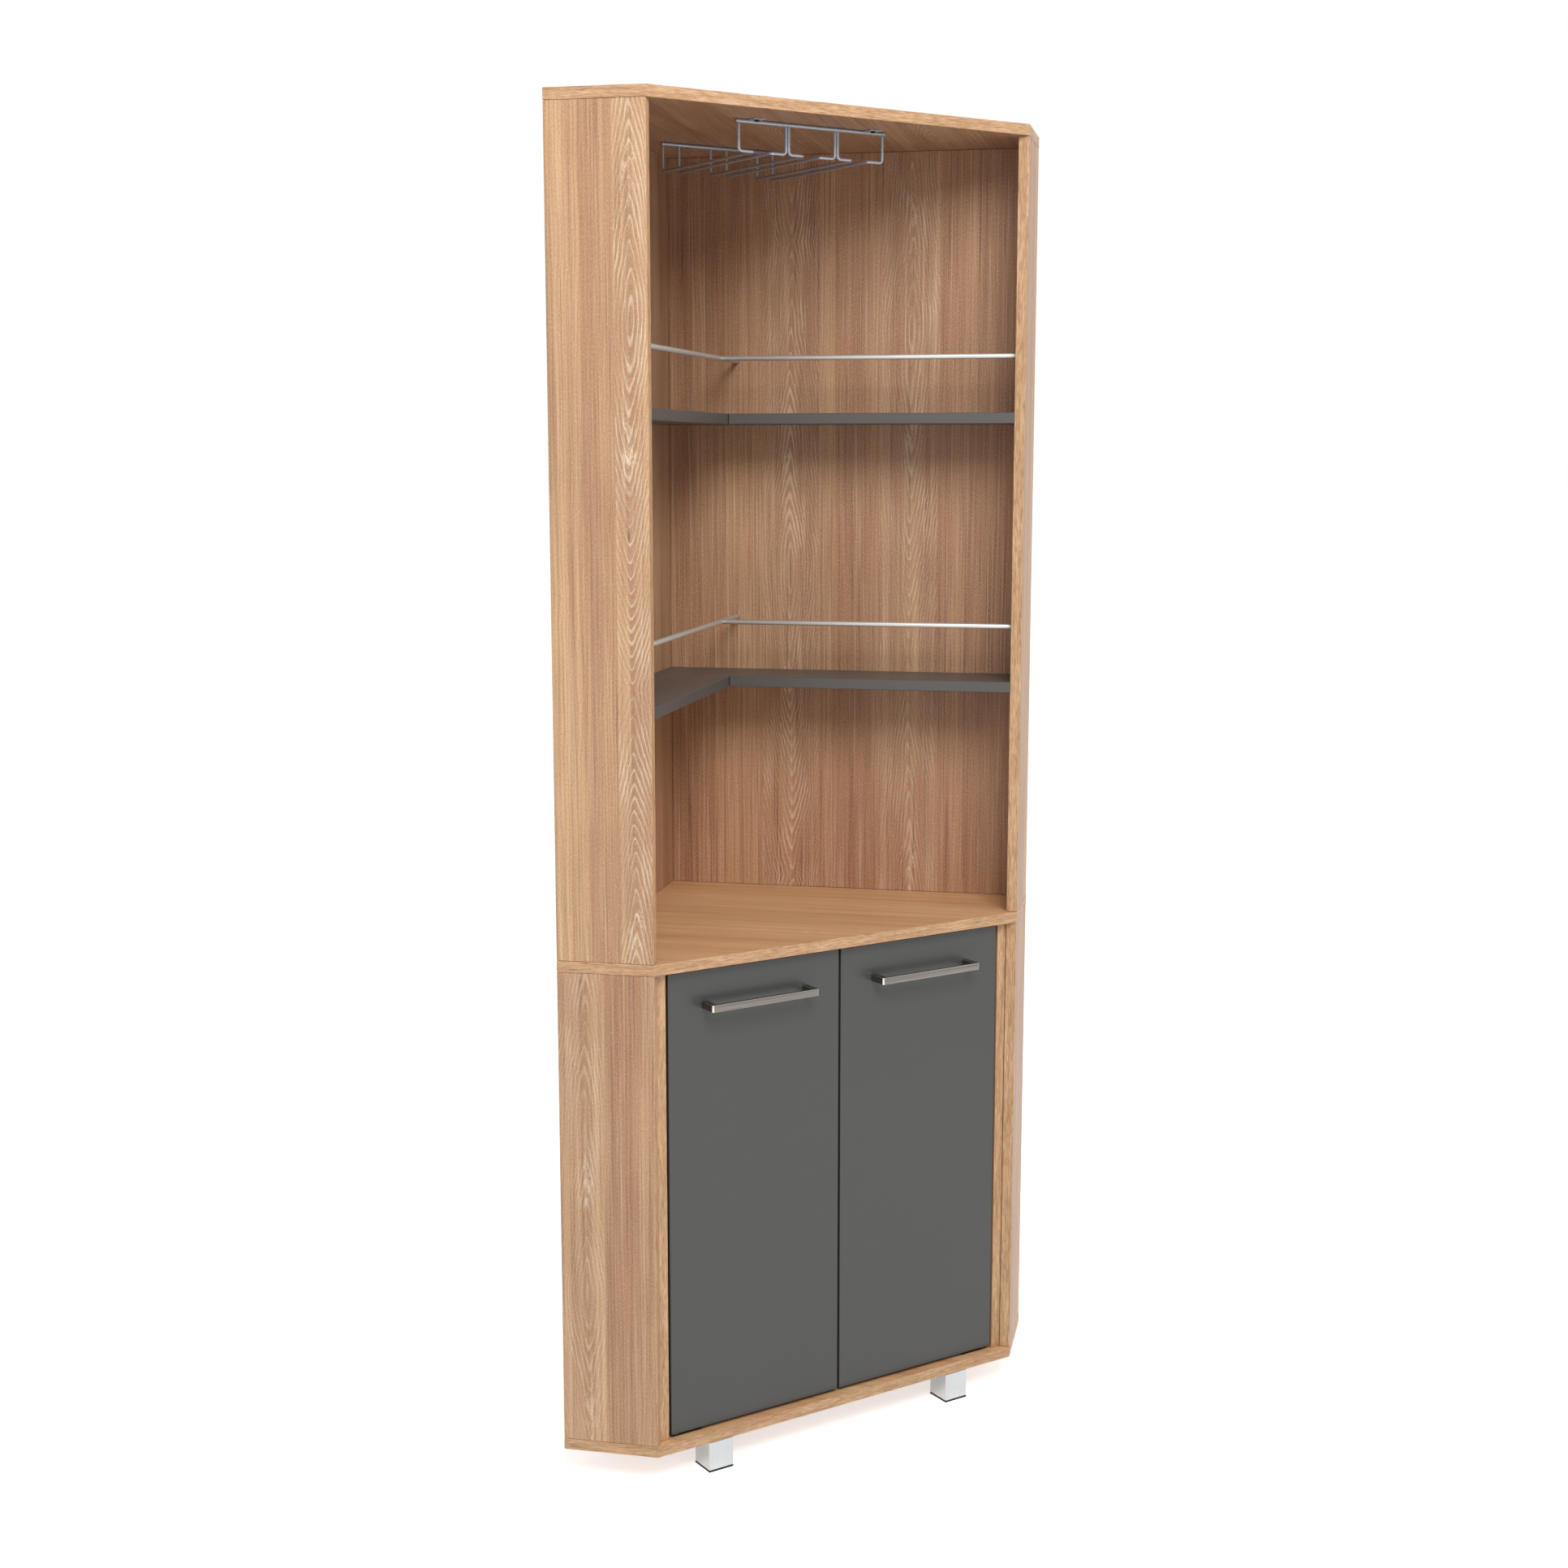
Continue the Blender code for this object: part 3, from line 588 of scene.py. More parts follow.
@dataclass(frozen=True)
class CharcoalBoard(Finish):
    """Satin charcoal facing of the doors and shelves."""

    seam: bool = False

    def _fill(self, g: Graph, shader: Node) -> None:
        """Give the facing its fine grain.

        Args:
            g: The material's graph.
            shader: Its shader.
        """
        place = g.place()
        cloud = g.ramp(g.noise(place, 7, 2), 0.3, 0.7)
        grain = g.ramp(g.noise(place, 900, 2), 0.35, 0.65)
        colour = g.mix(g.times(cloud, 0.6), self.tint, self._shade(1.07))
        colour = g.mix(g.times(grain, 0.10), colour, self._shade(1.4))
        if self.seam:
            colour = g.mix(self._seam_mask(g, place), colour, (0.008, 0.008, 0.008))
        rough = g.ramp(cloud, 0, 1, self.roughness - 0.02, self.roughness + 0.03)
        normal = g.bump(grain, 0.00004, 0.25)
        g.feed_all(shader, {"Base Color": colour, "Roughness": rough, "Normal": normal})

    @staticmethod
    def _seam_mask(g: Graph, place: Socket) -> Socket:
        """Find where the front bands of the two wings meet.

        Args:
            g: The material's graph.
            place: The place on the shelf.

        Returns:
            The socket of a mask that is one there.
        """
        upright = g.math("LESS_THAN", g.math("ABSOLUTE", g.split(g.facing())[2]), 0.6)
        middle = g.math("ABSOLUTE", g.math("ADD", g.split(place)[0], -0.0004))
        return g.times(upright, g.math("LESS_THAN", middle, 0.0006))


class Brushing(Enum):
    """Scale of the brush marks along X, Y and Z, long where it is small, and X's turn in degrees."""

    ALONG_X = (6, 900, 900), 0
    UPRIGHT = (900, 900, 6), 0
    ALONG_LEFT_WALL = (6, 900, 900), 45
    ALONG_RIGHT_WALL = (6, 900, 900), -45
    CAST = (300, 300, 300), 0


@dataclass(frozen=True)
class MetalFinish(Finish):
    """A bare or coated metal with brush marks, and with a painted highlight, a lighter colour on its eased
    edges, if edge is given.
    """

    brushing: Brushing
    metallic: float = 1.0
    contrast: float = 0.16
    edge: Colour | None = None

    def _fill(self, g: Graph, shader: Node) -> None:
        """Give the metal its brush marks.

        Args:
            g: The material's graph.
            shader: Its shader.
        """
        scale, angle = self.brushing.value
        turned = g.mapped(g.place(), Rotation=(0, 0, math.radians(-angle)))
        marks = g.ramp(g.noise(g.mapped(turned, Scale=scale), 1.0, 3, 0.6), 0.3, 0.7)
        colour = g.mix(marks, self._shade(1 - self.contrast), self.tint)
        # Painted highlight: the eased edges get the lighter edge colour.
        if self.edge:
            colour = g.mix(self._edge_highlight_mask(g), colour, self.edge)
        rough = g.ramp(marks, 0, 1, self.roughness + 0.05, self.roughness - 0.04)
        g.feed_all(shader, {"Base Color": colour, "Roughness": rough, "Metallic": self.metallic})
        g.feed(shader.inputs["Normal"], g.bump(marks, 0.00003, 0.35))

    @staticmethod
    def _edge_highlight_mask(g: Graph) -> Socket:
        """Find eased edges, which face along none of the piece's axes, where the highlight is painted.

        Args:
            g: The material's graph.

        Returns:
            The socket of a mask that is one on them.
        """
        spaces = {"vector_type": "NORMAL", "convert_from": "WORLD", "convert_to": "OBJECT"}
        turned = g.node("ShaderNodeVectorTransform", g.facing(), **spaces)
        x, y, z = (g.math("ABSOLUTE", part) for part in g.split(turned.outputs[0]))
        return g.ramp(g.math("MAXIMUM", g.math("MAXIMUM", x, y), z), 0.90, 0.97, 1.0, 0.0)


@dataclass(frozen=True)
class MouldedFinish(Finish):
    """Moulded plastic or rubber with a fine texture."""

    def _fill(self, g: Graph, shader: Node) -> None:
        """Give the surface its fine texture.

        Args:
            g: The material's graph.
            shader: Its shader.
        """
        place = g.place()
        cloud = g.ramp(g.noise(place, 60, 2), 0.3, 0.7)
        normal = g.bump(g.noise(place, 1400, 2), 0.00005, 0.4)
        g.feed_all(shader, {"Base Color": g.mix(cloud, self._shade(0.9), self.tint), "Normal": normal})


ROD_LEFT_STEEL = MetalFinish("rod_steel_left", linear(214, 212, 208), 0.46, Brushing.ALONG_LEFT_WALL, 0.7)
ROD_RIGHT_STEEL = replace(ROD_LEFT_STEEL, name="rod_steel_right", brushing=Brushing.ALONG_RIGHT_WALL)
RACK_COAT = MetalFinish("rack_coat", linear(176, 182, 192), 0.40, Brushing.CAST, 0.45, 0.10)
# The handle's last colour is a painted highlight on its eased edges.
NICKEL = MetalFinish(
    "handle_nickel", linear(142, 135, 129), 0.30, Brushing.ALONG_X, 1.0, 0.38, linear(226, 220, 212),
)
LEG_SATIN = MetalFinish("leg_satin", linear(195, 198, 199), 0.24, Brushing.UPRIGHT, 1.0, 0.07)
ZINC = MetalFinish("zinc_plate", linear(176, 178, 182), 0.34, Brushing.CAST)
DARK_ZINC = MetalFinish("dark_zinc", linear(46, 45, 44), 0.45, Brushing.CAST, 0.8)
PAD_RUBBER = MouldedFinish("pad_rubber", linear(44, 44, 46), 0.75)
NYLON = MouldedFinish("bush_nylon", linear(42, 42, 43), 0.5)


def add_piece(solid: str, form: str, shape: BMesh, finish: Finish, body: str) -> None:
    """Close a bmesh, turn its faces outwards and make it the piece that stands for a solid.

    Args:
        solid: The solid's node.
        form: What the piece's name adds to the node's.
        shape: The piece's bmesh, which is freed.
        finish: Its finish.
        body: The body that it rides on.
    """
    name = f"{solid}_{form}"
    bmesh.ops.remove_doubles(shape, verts=shape.verts, dist=WELD_DISTANCE)
    bmesh.ops.recalc_face_normals(shape, faces=shape.faces)
    data = bpy.data.meshes.new(name)
    shape.to_mesh(data)
    shape.free()
    data.shade_smooth()
    data.set_sharp_from_angle(angle=SHARP_ANGLE)
    data.materials.append(finish.build())
    piece = place_object(name, data)
    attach(piece, body)
    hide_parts(solid)
    LOG.info("%s rides on %s, %d faces", name, body, len(data.polygons))


def add_block(shape: BMesh, low: Vector, high: Vector, ease: float, steps: int = 2) -> None:
    """Add a box with eased edges.

    Args:
        shape: The bmesh to add to.
        low: The corner with its lowest coordinates.
        high: The corner with its highest ones.
        ease: How wide the edges are eased.
        steps: Faces across an eased edge.
    """
    made = bmesh.ops.create_cube(shape, size=1.0)["verts"]
    bmesh.ops.scale(shape, vec=high - low, verts=made)
    bmesh.ops.translate(shape, vec=(low + high) / 2, verts=made)
    edges = list({edge for vertex in made for edge in vertex.link_edges})
    bmesh.ops.bevel(
        shape, geom=edges, offset=ease, offset_type="OFFSET", segments=steps,
        profile=0.5, affect="EDGES", material=-1,
    )


def add_turned(
    shape: BMesh, profile: Sequence[tuple[float, float]], place: Vector,
    direction: Vector, facets: int = 32,
) -> None:
    """Spin a profile of (radius, height) points about an axis.

    Args:
        shape: The bmesh to add to.
        profile: The points, from axis to axis, or from radius to radius for a ring.
        place: Where the profile's zero lies.
        direction: Which way its height runs.
        facets: Steps round the axis.
    """
    before = set(shape.verts)
    points = [shape.verts.new((radius, 0, height)) for radius, height in profile]
    edges = [shape.edges.new(pair) for pair in zip(points, points[1:])]
    if profile[0][0] > 0:
        edges.append(shape.edges.new((points[-1], points[0])))
    bmesh.ops.spin(
        shape, geom=points + edges, cent=(0, 0, 0), axis=UP, angle=math.tau,
        steps=facets, use_merge=True, use_duplicate=False,
    )
    turn = Matrix.Translation(place) @ direction.to_track_quat("Z", "Y").to_matrix().to_4x4()
    bmesh.ops.transform(shape, matrix=turn, verts=[point for point in shape.verts if point not in before])


def rounded_rod(length: float, radius: float, ease: float) -> list[tuple[float, float]]:
    """Draw the profile of a round bar whose ends are eased.

    Args:
        length: The bar's length.
        radius: Its radius.
        ease: How wide its ends are eased.

    Returns:
        The profile's points, from one end to the other.
    """
    slope = ease * (1 - DIAGONAL)
    return [
        (0, 0), (radius - ease, 0), (radius - slope, slope), (radius, ease),
        (radius, length - ease), (radius - slope, length - slope), (radius - ease, length), (0, length),
    ]


def add_wire(shape: BMesh, path: list[Vector], radius: float) -> None:
    """Sweep a round section along a path and close both ends.

    Args:
        shape: The bmesh to add to.
        path: The centre line's points.
        radius: The wire's radius.
    """
    curve = bpy.data.curves.new("wire_path", "CURVE")
    curve.dimensions = "3D"
    curve.bevel_depth = radius
    curve.bevel_resolution = WIRE_RESOLUTION
    curve.use_fill_caps = True
    spline = curve.splines.new("POLY")
    spline.points.add(len(path) - 1)
    for point, place in zip(spline.points, path):
        point.co = (*place, 1.0)
    holder = place_object("wire_path", curve)
    swept = holder.to_mesh()
    shape.from_mesh(swept)
    holder.to_mesh_clear()
    bpy.data.objects.remove(holder)
    bpy.data.curves.remove(curve)


def middle_of(name: str) -> Vector:
    """Return the middle of a node's box."""
    low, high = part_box(name)
    return (low + high) / 2


def rounded_path(corners: list[Vector], radius: float, steps: int) -> list[Vector]:
    """A path through corners with an arc at each inner one.

    Args:
        corners: The path's corners.
        radius: Radius of the arcs.
        steps: Points of each arc.

    Returns:
        The path's points.
    """
    path = [corners[0]]
    for before, corner, after in zip(corners, corners[1:], corners[2:]):
        into, out = (corner - before).normalized(), (after - corner).normalized()
        setback = radius * math.tan(into.angle(out) / 2)
        inward = (out - into * into.dot(out)).normalized()
        centre = corner - into * setback + inward * radius
        first, last = corner - into * setback - centre, corner + out * setback - centre
        path.extend(centre + first.slerp(last, step / steps) * radius for step in range(steps + 1))
    path.append(corners[-1])
    return path


@dataclass(frozen=True)
class PanScrew:
    """A pan-head screw with a socket in its head, by its head's height and its shank's radius.

    HEAD is the head's profile in shares of its radius and of its height.
    """

    head_height: float
    shank: float
    HEAD: ClassVar = ((0, 0.6), (0.294, 0.6), (0.42, 0.05), (0.62, 0), (0.9, 0.25), (1, 0.6), (1, 1))

    def add(
        self, shape: BMesh, place: Vector, direction: Vector, head: float, length: float
    ) -> None:
        """Add the screw to a bmesh.

        Args:
            shape: The bmesh.
            place: The top of its head.
            direction: Which way its shank points.
            head: The head's radius.
            length: The whole length.
        """
        profile = [(head * out, self.head_height * down) for out, down in self.HEAD]
        profile += [(self.shank, self.head_height), (self.shank, length - self.shank), (0, length)]
        add_turned(shape, profile, place, direction, SMALL_FACETS)

    def fit(self, name: str, direction: Vector, finish: Finish, body: str) -> None:
        """Model the screw that stands for a solid.

        Args:
            name: The screw's node.
            direction: Which way its shank points.
            finish: Its finish.
            body: The body that it rides on.
        """
        low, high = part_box(name)
        length = abs(direction.dot(high - low))
        shape = bmesh.new()
        place = middle_of(name) - direction * (length / 2)
        self.add(shape, place, direction, (high.x - low.x) / 2, length)
        add_piece(name, "pan", shape, finish, body)


RACK_SCREW = PanScrew(0.002, 0.0018)
HANDLE_SCREW = PanScrew(0.0025, 0.002)
CATCH_SCREW = PanScrew(0.0012, 0.0015)


@dataclass
class Carcass:
    """The oak boards of the bar and the cupboard, dressed where they stand."""

    nodes: dict[str, bpy.types.Object]

    def lay_out(self) -> list[OakDecor]:
        """Choose the decor of every board.

        Returns:
            The decors.
        """
        straight = planks((0, -0.02, 0.62), (0.055, 0.02, 0.32), (0.115, 0.2, 0.5))
        outer_left = planks(
            (0, -0.03, 0.74), (0.020, -0.06, 0.58), (0.042, 0.140, 0.42),
            (0.074, 0.030, 0.26), (0.0845, 0.107, 0.66, 1.0, 1.545),
        )
        cupboard_left = planks(
            (0, 0.036, 0.68, 0.7, 0.26), (0.0565, 0.150, 0.46), (0.086, 0.040, 0.34),
        )
        # The two planks at the right back's front edge are darker: partly their own grey tone and partly a
        # painted shadow of bottles that aren't modelled.
        back_right = planks(
            (0, 0.040, 0.0), (0.068, 0.010, 0.02), (0.120, 0.165, 0.24, 0.65, 1.55),
            (0.205, 0.140, 0.04), (0.272, 0.420, 0.18), (0.300, 0.341, 0.12, 0.8, 1.205),
            (0.384, 0.300, 0.18), (0.458, 0.600, 0.04),
        )
        back_left = planks(
            (0, 0.060, 0.34, 0.7, 1.1), (0.100, 0.200, 0.22), (0.190, 0.235, 0.4, 0.7, 1.5),
            (0.290, 0.200, 0.26), (0.380, 0.425, 0.38, 0.6, 1.2), (0.470, 0.600, 0.2),
            (0.512, 0.470, 0.35),
        )
        level = planks(
            (0, 0.030, 0.74), (0.090, 0.130, 0.86, 0.6, 0.2), (0.185, 0.200, 0.62),
            (0.270, 0.318, 0.86, 0.6, 0.05), (0.360, 0.300, 0.66),
            (0.450, 0.492, 0.82, 0.6, 0.3),
        )
        ceiling = tuple(replace(plank, tone=plank.tone * 0.30) for plank in level)
        upright, flat = (Grain.UP, Band.FRONT_END), (Grain.LEVEL, Band.RIM)
        decors = [OakDecor(f"door_post_{word}", -90, straight, 73.0, *upright) for word in SIDES]
        for stage, side_left, seed in (("upper", outer_left, 2.0), ("lower", cupboard_left, 41.0)):
            decors += (
                OakDecor(f"{stage}_side_left", -45, side_left, seed, *upright),
                OakDecor(f"{stage}_side_right", -135, straight, seed + 5, *upright),
                OakDecor(f"{stage}_back_left", 45, back_left, seed + 11),
                OakDecor(f"{stage}_back_right", 135, back_right, seed + 17),
            )
        decors += (
            OakDecor("top_board", 45, ceiling, 90.0, *flat),
            # The worktop and the bottom board get painted light from above, a golden tint.
            OakDecor("worktop", 135, level, 101.0, *flat, warmth=0.24),
            OakDecor("bottom_board", 135, level, 115.0, *flat, warmth=0.24),
        )
        return decors

    def dress(self) -> None:
        """Give each board its decor."""
        for decor in self.lay_out():
            wear(self.nodes[decor.name], decor.build(self.nodes[decor.name]))


@dataclass
class CharcoalBoards:
    """The shelves and the doors."""

    nodes: dict[str, bpy.types.Object]
    tint: Colour = linear(67, 67, 65)
    shelf_tint: Colour = linear(84, 82, 79)

    def dress(self) -> None:
        """Give the doors and the shelves their charcoal facing."""
        facings = [CharcoalBoard(f"door_{word}", self.tint, 0.30) for word in SIDES]
        facings += [CharcoalBoard(f"{stage}_shelf", self.shelf_tint, 0.40, seam=True) for stage in STAGES]
        for facing in facings:
            wear(self.nodes[facing.name], facing.build())


@dataclass
class GuardRods:
    """The rods over the shelves.

    saddle is how far, in radii, the short rod ends from the long one's middle.
    """

    ease: float = 0.0006
    saddle: float = 0.45

    def build(self) -> None:
        """Model over each shelf the rod that runs through the corner, and the one that ends on it."""
        for stage in STAGES:
            name = f"{stage}_rod_left"
            low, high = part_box(name)
            radius = (high.z - low.z) / 2
            inset = radius * DIAGONAL
            start = Vector((low.x + inset, low.y + inset, low.z + radius))
            along = Vector((high.x - inset, high.y - inset, low.z + radius)) - start
            self._rod(name, start, along, radius, ROD_LEFT_STEEL)
            name = f"{stage}_rod_right"
            low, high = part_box(name)
            foot = Vector((high.x - inset, low.y + inset, low.z + radius))
            direction = Vector((-DIAGONAL, DIAGONAL, 0))
            reach = (start - foot).dot(direction) - radius * self.saddle
            self._rod(name, foot, direction * reach, radius, ROD_RIGHT_STEEL)

    def _rod(self, name: str, start: Vector, along: Vector, radius: float, finish: Finish) -> None:
        """A straight rod with eased ends.

        Args:
            name: The rod's node.
            start: The middle of its first end.
            along: The way to its other end.
            radius: Its radius.
            finish: Its finish.
        """
        shape = bmesh.new()
        add_turned(shape, rounded_rod(along.length, radius, self.ease), start, along)
        add_piece(name, "bar", shape, finish, CASE)


@dataclass
class GlassRack:
    """The wire rack under the top board, with wire as its wires' radius."""

    wire: float = 0.0021
    bend: float = 0.0048
    bend_steps: int = 8
    bar_ease: float = 0.0005
    tab_ease: float = 0.0004
    tab_half: float = 0.009
    tab_thickness: float = 0.0015
    channels: int = 3

    def build(self) -> None:
        """Model the bars, the rails and the screws."""
        for name, reach in (("rack_front_bar", -1), ("rack_back_bar", 1)):
            self._bar(name, reach)
        for channel in range(1, self.channels + 1):
            for word, side in SIDES.items():
                self._rail(f"rack_rail_{channel}_{word}", side)

    def _bar(self, name: str, reach: int) -> None:
        """A cross bar with its two tabs.

        Args:
            name: The bar's node.
            reach: -1 if its tabs reach to the front and 1 if to the back.
        """
        low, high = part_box(name)
        radius = (high.z - low.z) / 2
        middle = high.y - radius if reach < 0 else low.y + radius
        start = Vector((low.x, middle, low.z + radius))
        near, far = sorted((middle, low.y if reach < 0 else high.y))
        shape = bmesh.new()
        add_turned(shape, rounded_rod(high.x - low.x, radius, self.bar_ease), start, Vector((1, 0, 0)))
        for word in SIDES:
            screw = f"{name}_screw_{word}"
            x = middle_of(screw).x
            tab_low = Vector((x - self.tab_half, near, high.z - self.tab_thickness))
            add_block(shape, tab_low, Vector((x + self.tab_half, far, high.z)), self.tab_ease)
            RACK_SCREW.fit(screw, UP, DARK_ZINC, CASE)
        add_piece(name, "wire", shape, RACK_COAT, CASE)

    def _rail(self, name: str, side: int) -> None:
        """One bent wire: down, in towards the middle of its channel, back and up.

        Args:
            name: The rail's node.
            side: -1 at the left of its channel and 1 at the right.
        """
        low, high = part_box(name)
        wire = self.wire
        outer = low.x + wire if side < 0 else high.x - wire
        inner = high.x - wire if side < 0 else low.x + wire
        front, back, foot = low.y + wire, high.y - wire, low.z + wire
        corners = [
            Vector((outer, front, high.z)), Vector((outer, front, foot)), Vector((inner, front, foot)),
            Vector((inner, back, foot)), Vector((inner, back, high.z)),
        ]
        shape = bmesh.new()
        add_wire(shape, rounded_path(corners, self.bend, self.bend_steps), wire)
        add_piece(name, "wire", shape, RACK_COAT, CASE)


@dataclass
class Handle:
    """A bow handle of flat bar and the two screws that hold it."""

    word: str
    ease: float = 0.0005
    corner: float = 0.0018
    post: float = 0.009
    bar: float = 0.005

    def build(self) -> None:
        """Model the bow and its screws."""
        name = f"handle_{self.word}"
        low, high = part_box(name)
        shape = bmesh.new()
        outline = [
            (low.x, high.y), (low.x, low.y + self.corner), (low.x + self.corner, low.y),
            (high.x - self.corner, low.y), (high.x, low.y + self.corner), (high.x, high.y),
            (high.x - self.post, high.y), (high.x - self.post, low.y + self.bar),
            (low.x + self.post, low.y + self.bar), (low.x + self.post, high.y),
        ]
        face = shape.faces.new([shape.verts.new((x, y, low.z)) for x, y in outline])
        raised = bmesh.ops.extrude_face_region(shape, geom=[face])["geom"]
        lifted = [item for item in raised if isinstance(item, BMVert)]
        bmesh.ops.translate(shape, vec=(0, 0, high.z - low.z), verts=lifted)
        bmesh.ops.bevel(
            shape, geom=list(shape.edges), offset=self.ease, offset_type="OFFSET", segments=FINE_STEPS,
            profile=0.5, affect="EDGES", material=-1, clamp_overlap=True,
        )
        body = f"{self.word}_door"
        add_piece(name, "bow", shape, NICKEL, body)
        for end in SIDES:
            HANDLE_SCREW.fit(f"{name}_screw_{end}", Vector((0, -1, 0)), ZINC, body)


@dataclass
class PinHinges:
    """The plates with pins and the bushes at the ends of the doors.

    width is the plate's width round the pin, screw_places where its screws sit
    as shares of its length, and DOME the profile of a screw's head.
    """

    ease: float = 0.0003
    plate: float = 0.0015
    pin: float = 0.0025
    width: float = 0.010
    screw_places: tuple[float, float] = (0.45, 0.85)
    dome_facets: int = 20
    DOME: ClassVar = (
        (0, -0.0004), (0.0030, -0.0004), (0.0028, 0.0), (0.0012, 0.0002), (0.0008, -0.0001), (0, -0.0001),
    )

    def build(self) -> None:
        """Model every plate and dress every bush."""
        for word, side in SIDES.items():
            for end, up in (("bottom", 1), ("top", -1)):
                self._plate(f"hinge_plate_{word}_{end}", side, up)
                wear(bpy.data.objects[f"hinge_bush_{word}_{end}"], NYLON.build())

    def _plate(self, name: str, side: int, up: int) -> None:
        """A plate, its pin and the two screws that hold it.

        Args:
            name: The plate's node.
            side: -1 for the left door and 1 for the right one.
            up: 1 for a pin that stands up and -1 for one that hangs down.
        """
        low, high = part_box(name)
        seat = low.z if up > 0 else high.z
        face = seat + up * self.plate
        leaf_low, leaf_high = low.copy(), high.copy()
        leaf_low.z, leaf_high.z = sorted((seat, face))
        shape = bmesh.new()
        add_block(shape, leaf_low, leaf_high, self.ease)
        outer, y = (low.x if side < 0 else high.x), (low.y + high.y) / 2
        pin_foot = Vector((outer - side * self.width / 2, y, seat + up * self.ease))
        add_turned(shape, rounded_rod(high.z - low.z - self.ease, self.pin, self.ease), pin_foot, UP * up)
        for share in self.screw_places:
            centre = outer - side * (high.x - low.x) * share
            add_turned(shape, self.DOME, Vector((centre, y, face)), UP * up, self.dome_facets)
        add_piece(name, "leaf", shape, DARK_ZINC, CASE)


@dataclass
class MagneticCatch:
    """The double catch under the worktop and the strike plates on the doors.

    DIMPLE is the profile of the countersunk dimple in a strike plate.
    """

    ease: float = 0.001
    ear: float = 0.011
    ear_height: float = 0.003
    ear_ease: float = 0.0006
    strike_ease: float = 0.0003
    screw_head: float = 0.003
    screw_length: float = 0.003
    DIMPLE: ClassVar = (
        (0, -0.0004), (0.0028, -0.0004), (0.0028, 0.0), (0.0022, 0.0), (0.0014, -0.0003), (0, -0.0003),
    )

    def build(self) -> None:
        """Model the catch, its two screws and the strike plates."""
        name = "magnetic_catch"
        low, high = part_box(name)
        shape = bmesh.new()
        inset = Vector((self.ear, 0, 0))
        add_block(shape, low + inset, high - inset, self.ease, FINE_STEPS)
        ear_low = Vector((low.x, low.y + self.ease, high.z - self.ear_height))
        add_block(shape, ear_low, Vector((high.x, high.y - self.ease, high.z)), self.ear_ease)
        for side in SIDES.values():
            x = (high.x - self.ear / 2) * side
            place = Vector((x, (low.y + high.y) / 2, ear_low.z - CATCH_SCREW.head_height))
            CATCH_SCREW.add(shape, place, UP, self.screw_head, self.screw_length)
        add_piece(name, "body", shape, NYLON, CASE)
        for word in SIDES:
            self._strike(f"strike_plate_{word}", f"{word}_door")

    def _strike(self, name: str, body: str) -> None:
        """A thin plate with a countersunk dimple in its middle.

        Args:
            name: The plate's node.
            body: The door that it rides on.
        """
        low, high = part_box(name)
        shape = bmesh.new()
        add_block(shape, low, high, self.strike_ease)
        place = middle_of(name)
        place.y = high.y
        add_turned(shape, self.DIMPLE, place, Vector((0, 1, 0)), SMALL_FACETS)
        add_piece(name, "face", shape, ZINC, body)


@dataclass
class Leg:
    """A square leg of satin aluminium with a stud in its top, on its rubber pad."""

    word: str
    ease: float = 0.0012
    stud_radius: float = 0.004
    stud_ease: float = 0.0005
    stud_sink: float = 0.001

    def build(self) -> None:
        """Model the leg and dress the pad."""
        name = f"leg_{self.word}"
        low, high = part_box(name)
        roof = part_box("bottom_board")[0].z - JOINT_GAP
        shape = bmesh.new()
        add_block(shape, low, Vector((high.x, high.y, roof)), self.ease, FINE_STEPS)
        stud = middle_of(name)
        stud.z = roof - self.stud_sink
        profile = rounded_rod(high.z - stud.z, self.stud_radius, self.stud_ease)
        add_turned(shape, profile, stud, UP, SMALL_FACETS)
        add_piece(name, "post", shape, LEG_SATIN, CASE)
        wear(bpy.data.objects[f"foot_pad_{self.word}"], PAD_RUBBER.build())


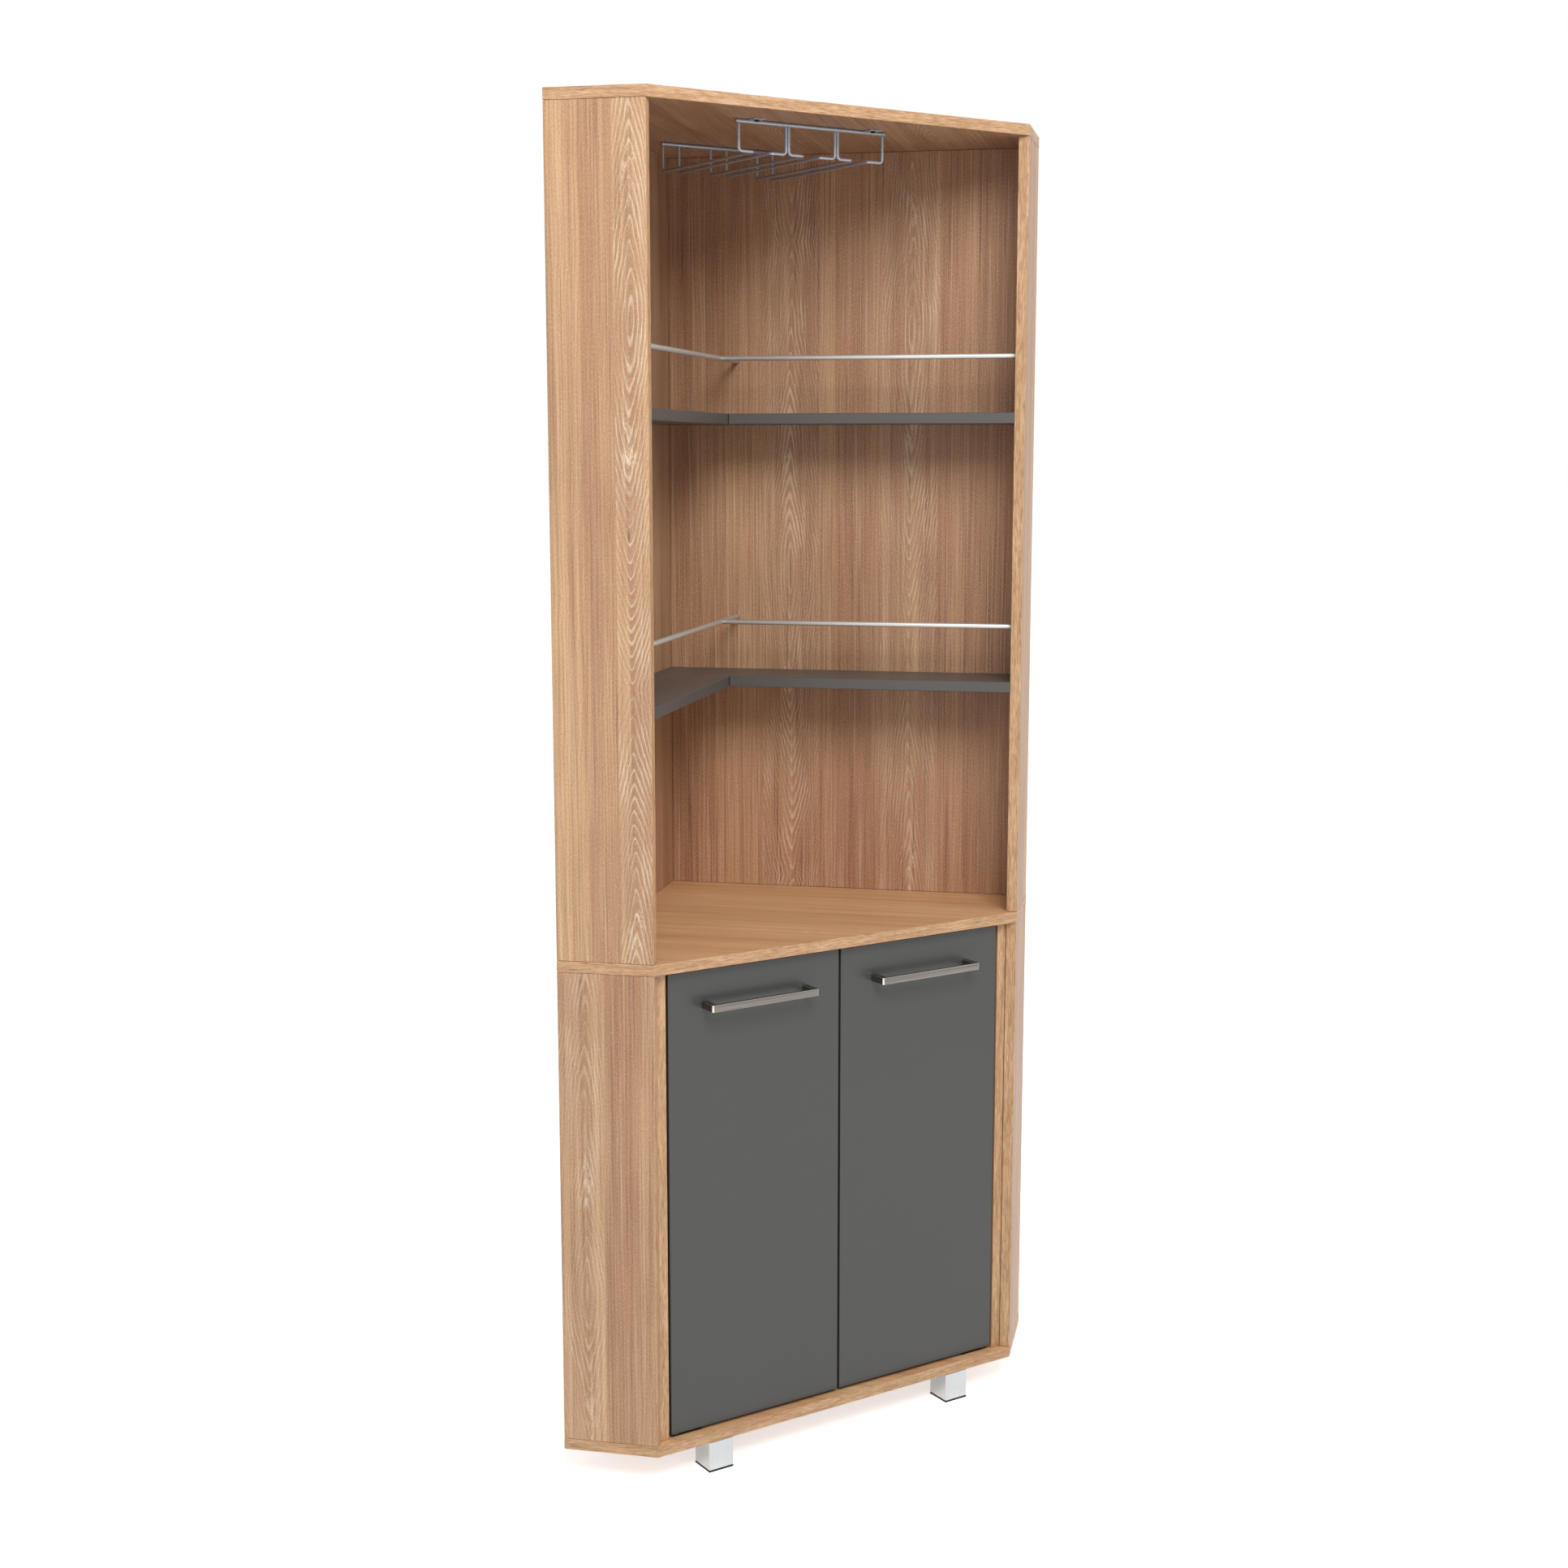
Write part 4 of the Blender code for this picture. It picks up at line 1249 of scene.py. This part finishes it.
@dataclass
class Studio:
    """Floor, light and camera.

    floor_glow and world_light are the strengths of the floor's own glow where
    it is seen and of the world where it isn't.
    """

    lens: float = 49.386
    sensor: float = 36.0
    camera_place: Place = (-1.6316, -2.5954, 1.3722)
    camera_yaw: float = 0.5756
    camera_pitch: float = -0.153
    floor_half: float = 60.0
    floor_glow: float = 0.62
    world_light: float = 0.52

    def build(self) -> None:
        """Set up everything that isn't the cabinet."""
        self._floor()
        self._world()
        self._softbox("key", (-1.0, -2.75, 3.3), (0.0, 0.1, 0.9), 1.6, 88)
        self._softbox("fill", (2.8, -1.6, 2.0), (0.1, 0.1, 0.9), 2.0, 10)
        self._camera()
        bpy.context.scene.view_settings.view_transform = "Standard"

    def _floor(self) -> None:
        """A plain white floor that keeps the cabinet's shadow."""
        shape = bmesh.new()
        bmesh.ops.create_grid(shape, x_segments=1, y_segments=1, size=self.floor_half)
        data = bpy.data.meshes.new("floor")
        shape.to_mesh(data)
        shape.free()
        made, g, shader = new_material("floor_white")
        white = g.mix(g.noise(g.place(), 2.0, 2), (0.88, 0.88, 0.88), (0.90, 0.90, 0.90))
        g.feed_all(shader, {"Base Color": white, "Roughness": 0.9, "Specular IOR Level": 0.1})
        plain = shader.outputs[0]
        lit = g.node("ShaderNodeEmission", (1.0, 1.0, 1.0), self.floor_glow)
        added = g.node("ShaderNodeAddShader", plain, lit.outputs[0])
        chosen = g.node("ShaderNodeMixShader", self._seen(g, "Camera", "Glossy"), plain, added.outputs[0])
        g.feed(made.node_tree.nodes["Material Output"].inputs["Surface"], chosen.outputs[0])
        data.materials.append(made)
        place_object("floor", data)

    def _world(self) -> None:
        """White where it is seen or mirrored, and a softer light elsewhere."""
        world = bpy.data.worlds.new("studio")
        world.use_nodes = True
        g = Graph(world.node_tree)
        strength = g.ramp(self._seen(g, "Camera", "Transmission", "Glossy"), 0, 1, self.world_light, 1.0)
        g.feed_all(world.node_tree.nodes["Background"], {"Strength": strength, "Color": (1.0, 1.0, 1.0)})
        bpy.context.scene.world = world

    @staticmethod
    def _seen(g: Graph, *rays: str) -> Socket:
        """Mark what rays of some kinds reach.

        Args:
            g: The graph to add to.
            *rays: The kinds.

        Returns:
            The socket of a mask that is one there.
        """
        path = g.node("ShaderNodeLightPath")
        marks = [path.outputs[f"Is {ray} Ray"] for ray in rays]
        return reduce(lambda first, second: g.math("MAXIMUM", first, second), marks)

    @staticmethod
    def _softbox(name: str, place: Place, target: Place, size: float, power: float) -> None:
        """A square softbox that faces a target.

        Args:
            name: The lamp's name.
            place: Where it stands.
            target: What it faces.
            size: Its side.
            power: Its power in watts.
        """
        light = bpy.data.lights.new(name, "AREA")
        light.shape = "SQUARE"
        light.size = size
        light.energy = power
        lamp = place_object(name, light)
        lamp.location = place
        lamp.rotation_euler = (Vector(target) - Vector(place)).to_track_quat("-Z", "Y").to_euler()

    def _camera(self) -> None:
        """The camera at the photograph's viewing angle."""
        data = bpy.data.cameras.new("camera")
        data.lens = self.lens
        data.sensor_width = self.sensor
        camera = place_object("camera", data)
        camera.location = self.camera_place
        camera.rotation_euler = (math.pi / 2 + self.camera_pitch, 0, -self.camera_yaw)
        bpy.context.scene.camera = camera


def main() -> None:
    logging.basicConfig(level=logging.INFO, format="%(message)s")
    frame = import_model()
    nodes = frame["nodes"]
    Carcass(nodes).dress()
    CharcoalBoards(nodes).dress()
    GuardRods().build()
    GlassRack().build()
    for word in SIDES:
        Handle(word).build()
    PinHinges().build()
    MagneticCatch().build()
    for word in ("left", "right", "back"):
        Leg(word).build()
    Studio().build()


if __name__ == "__main__":
    main()
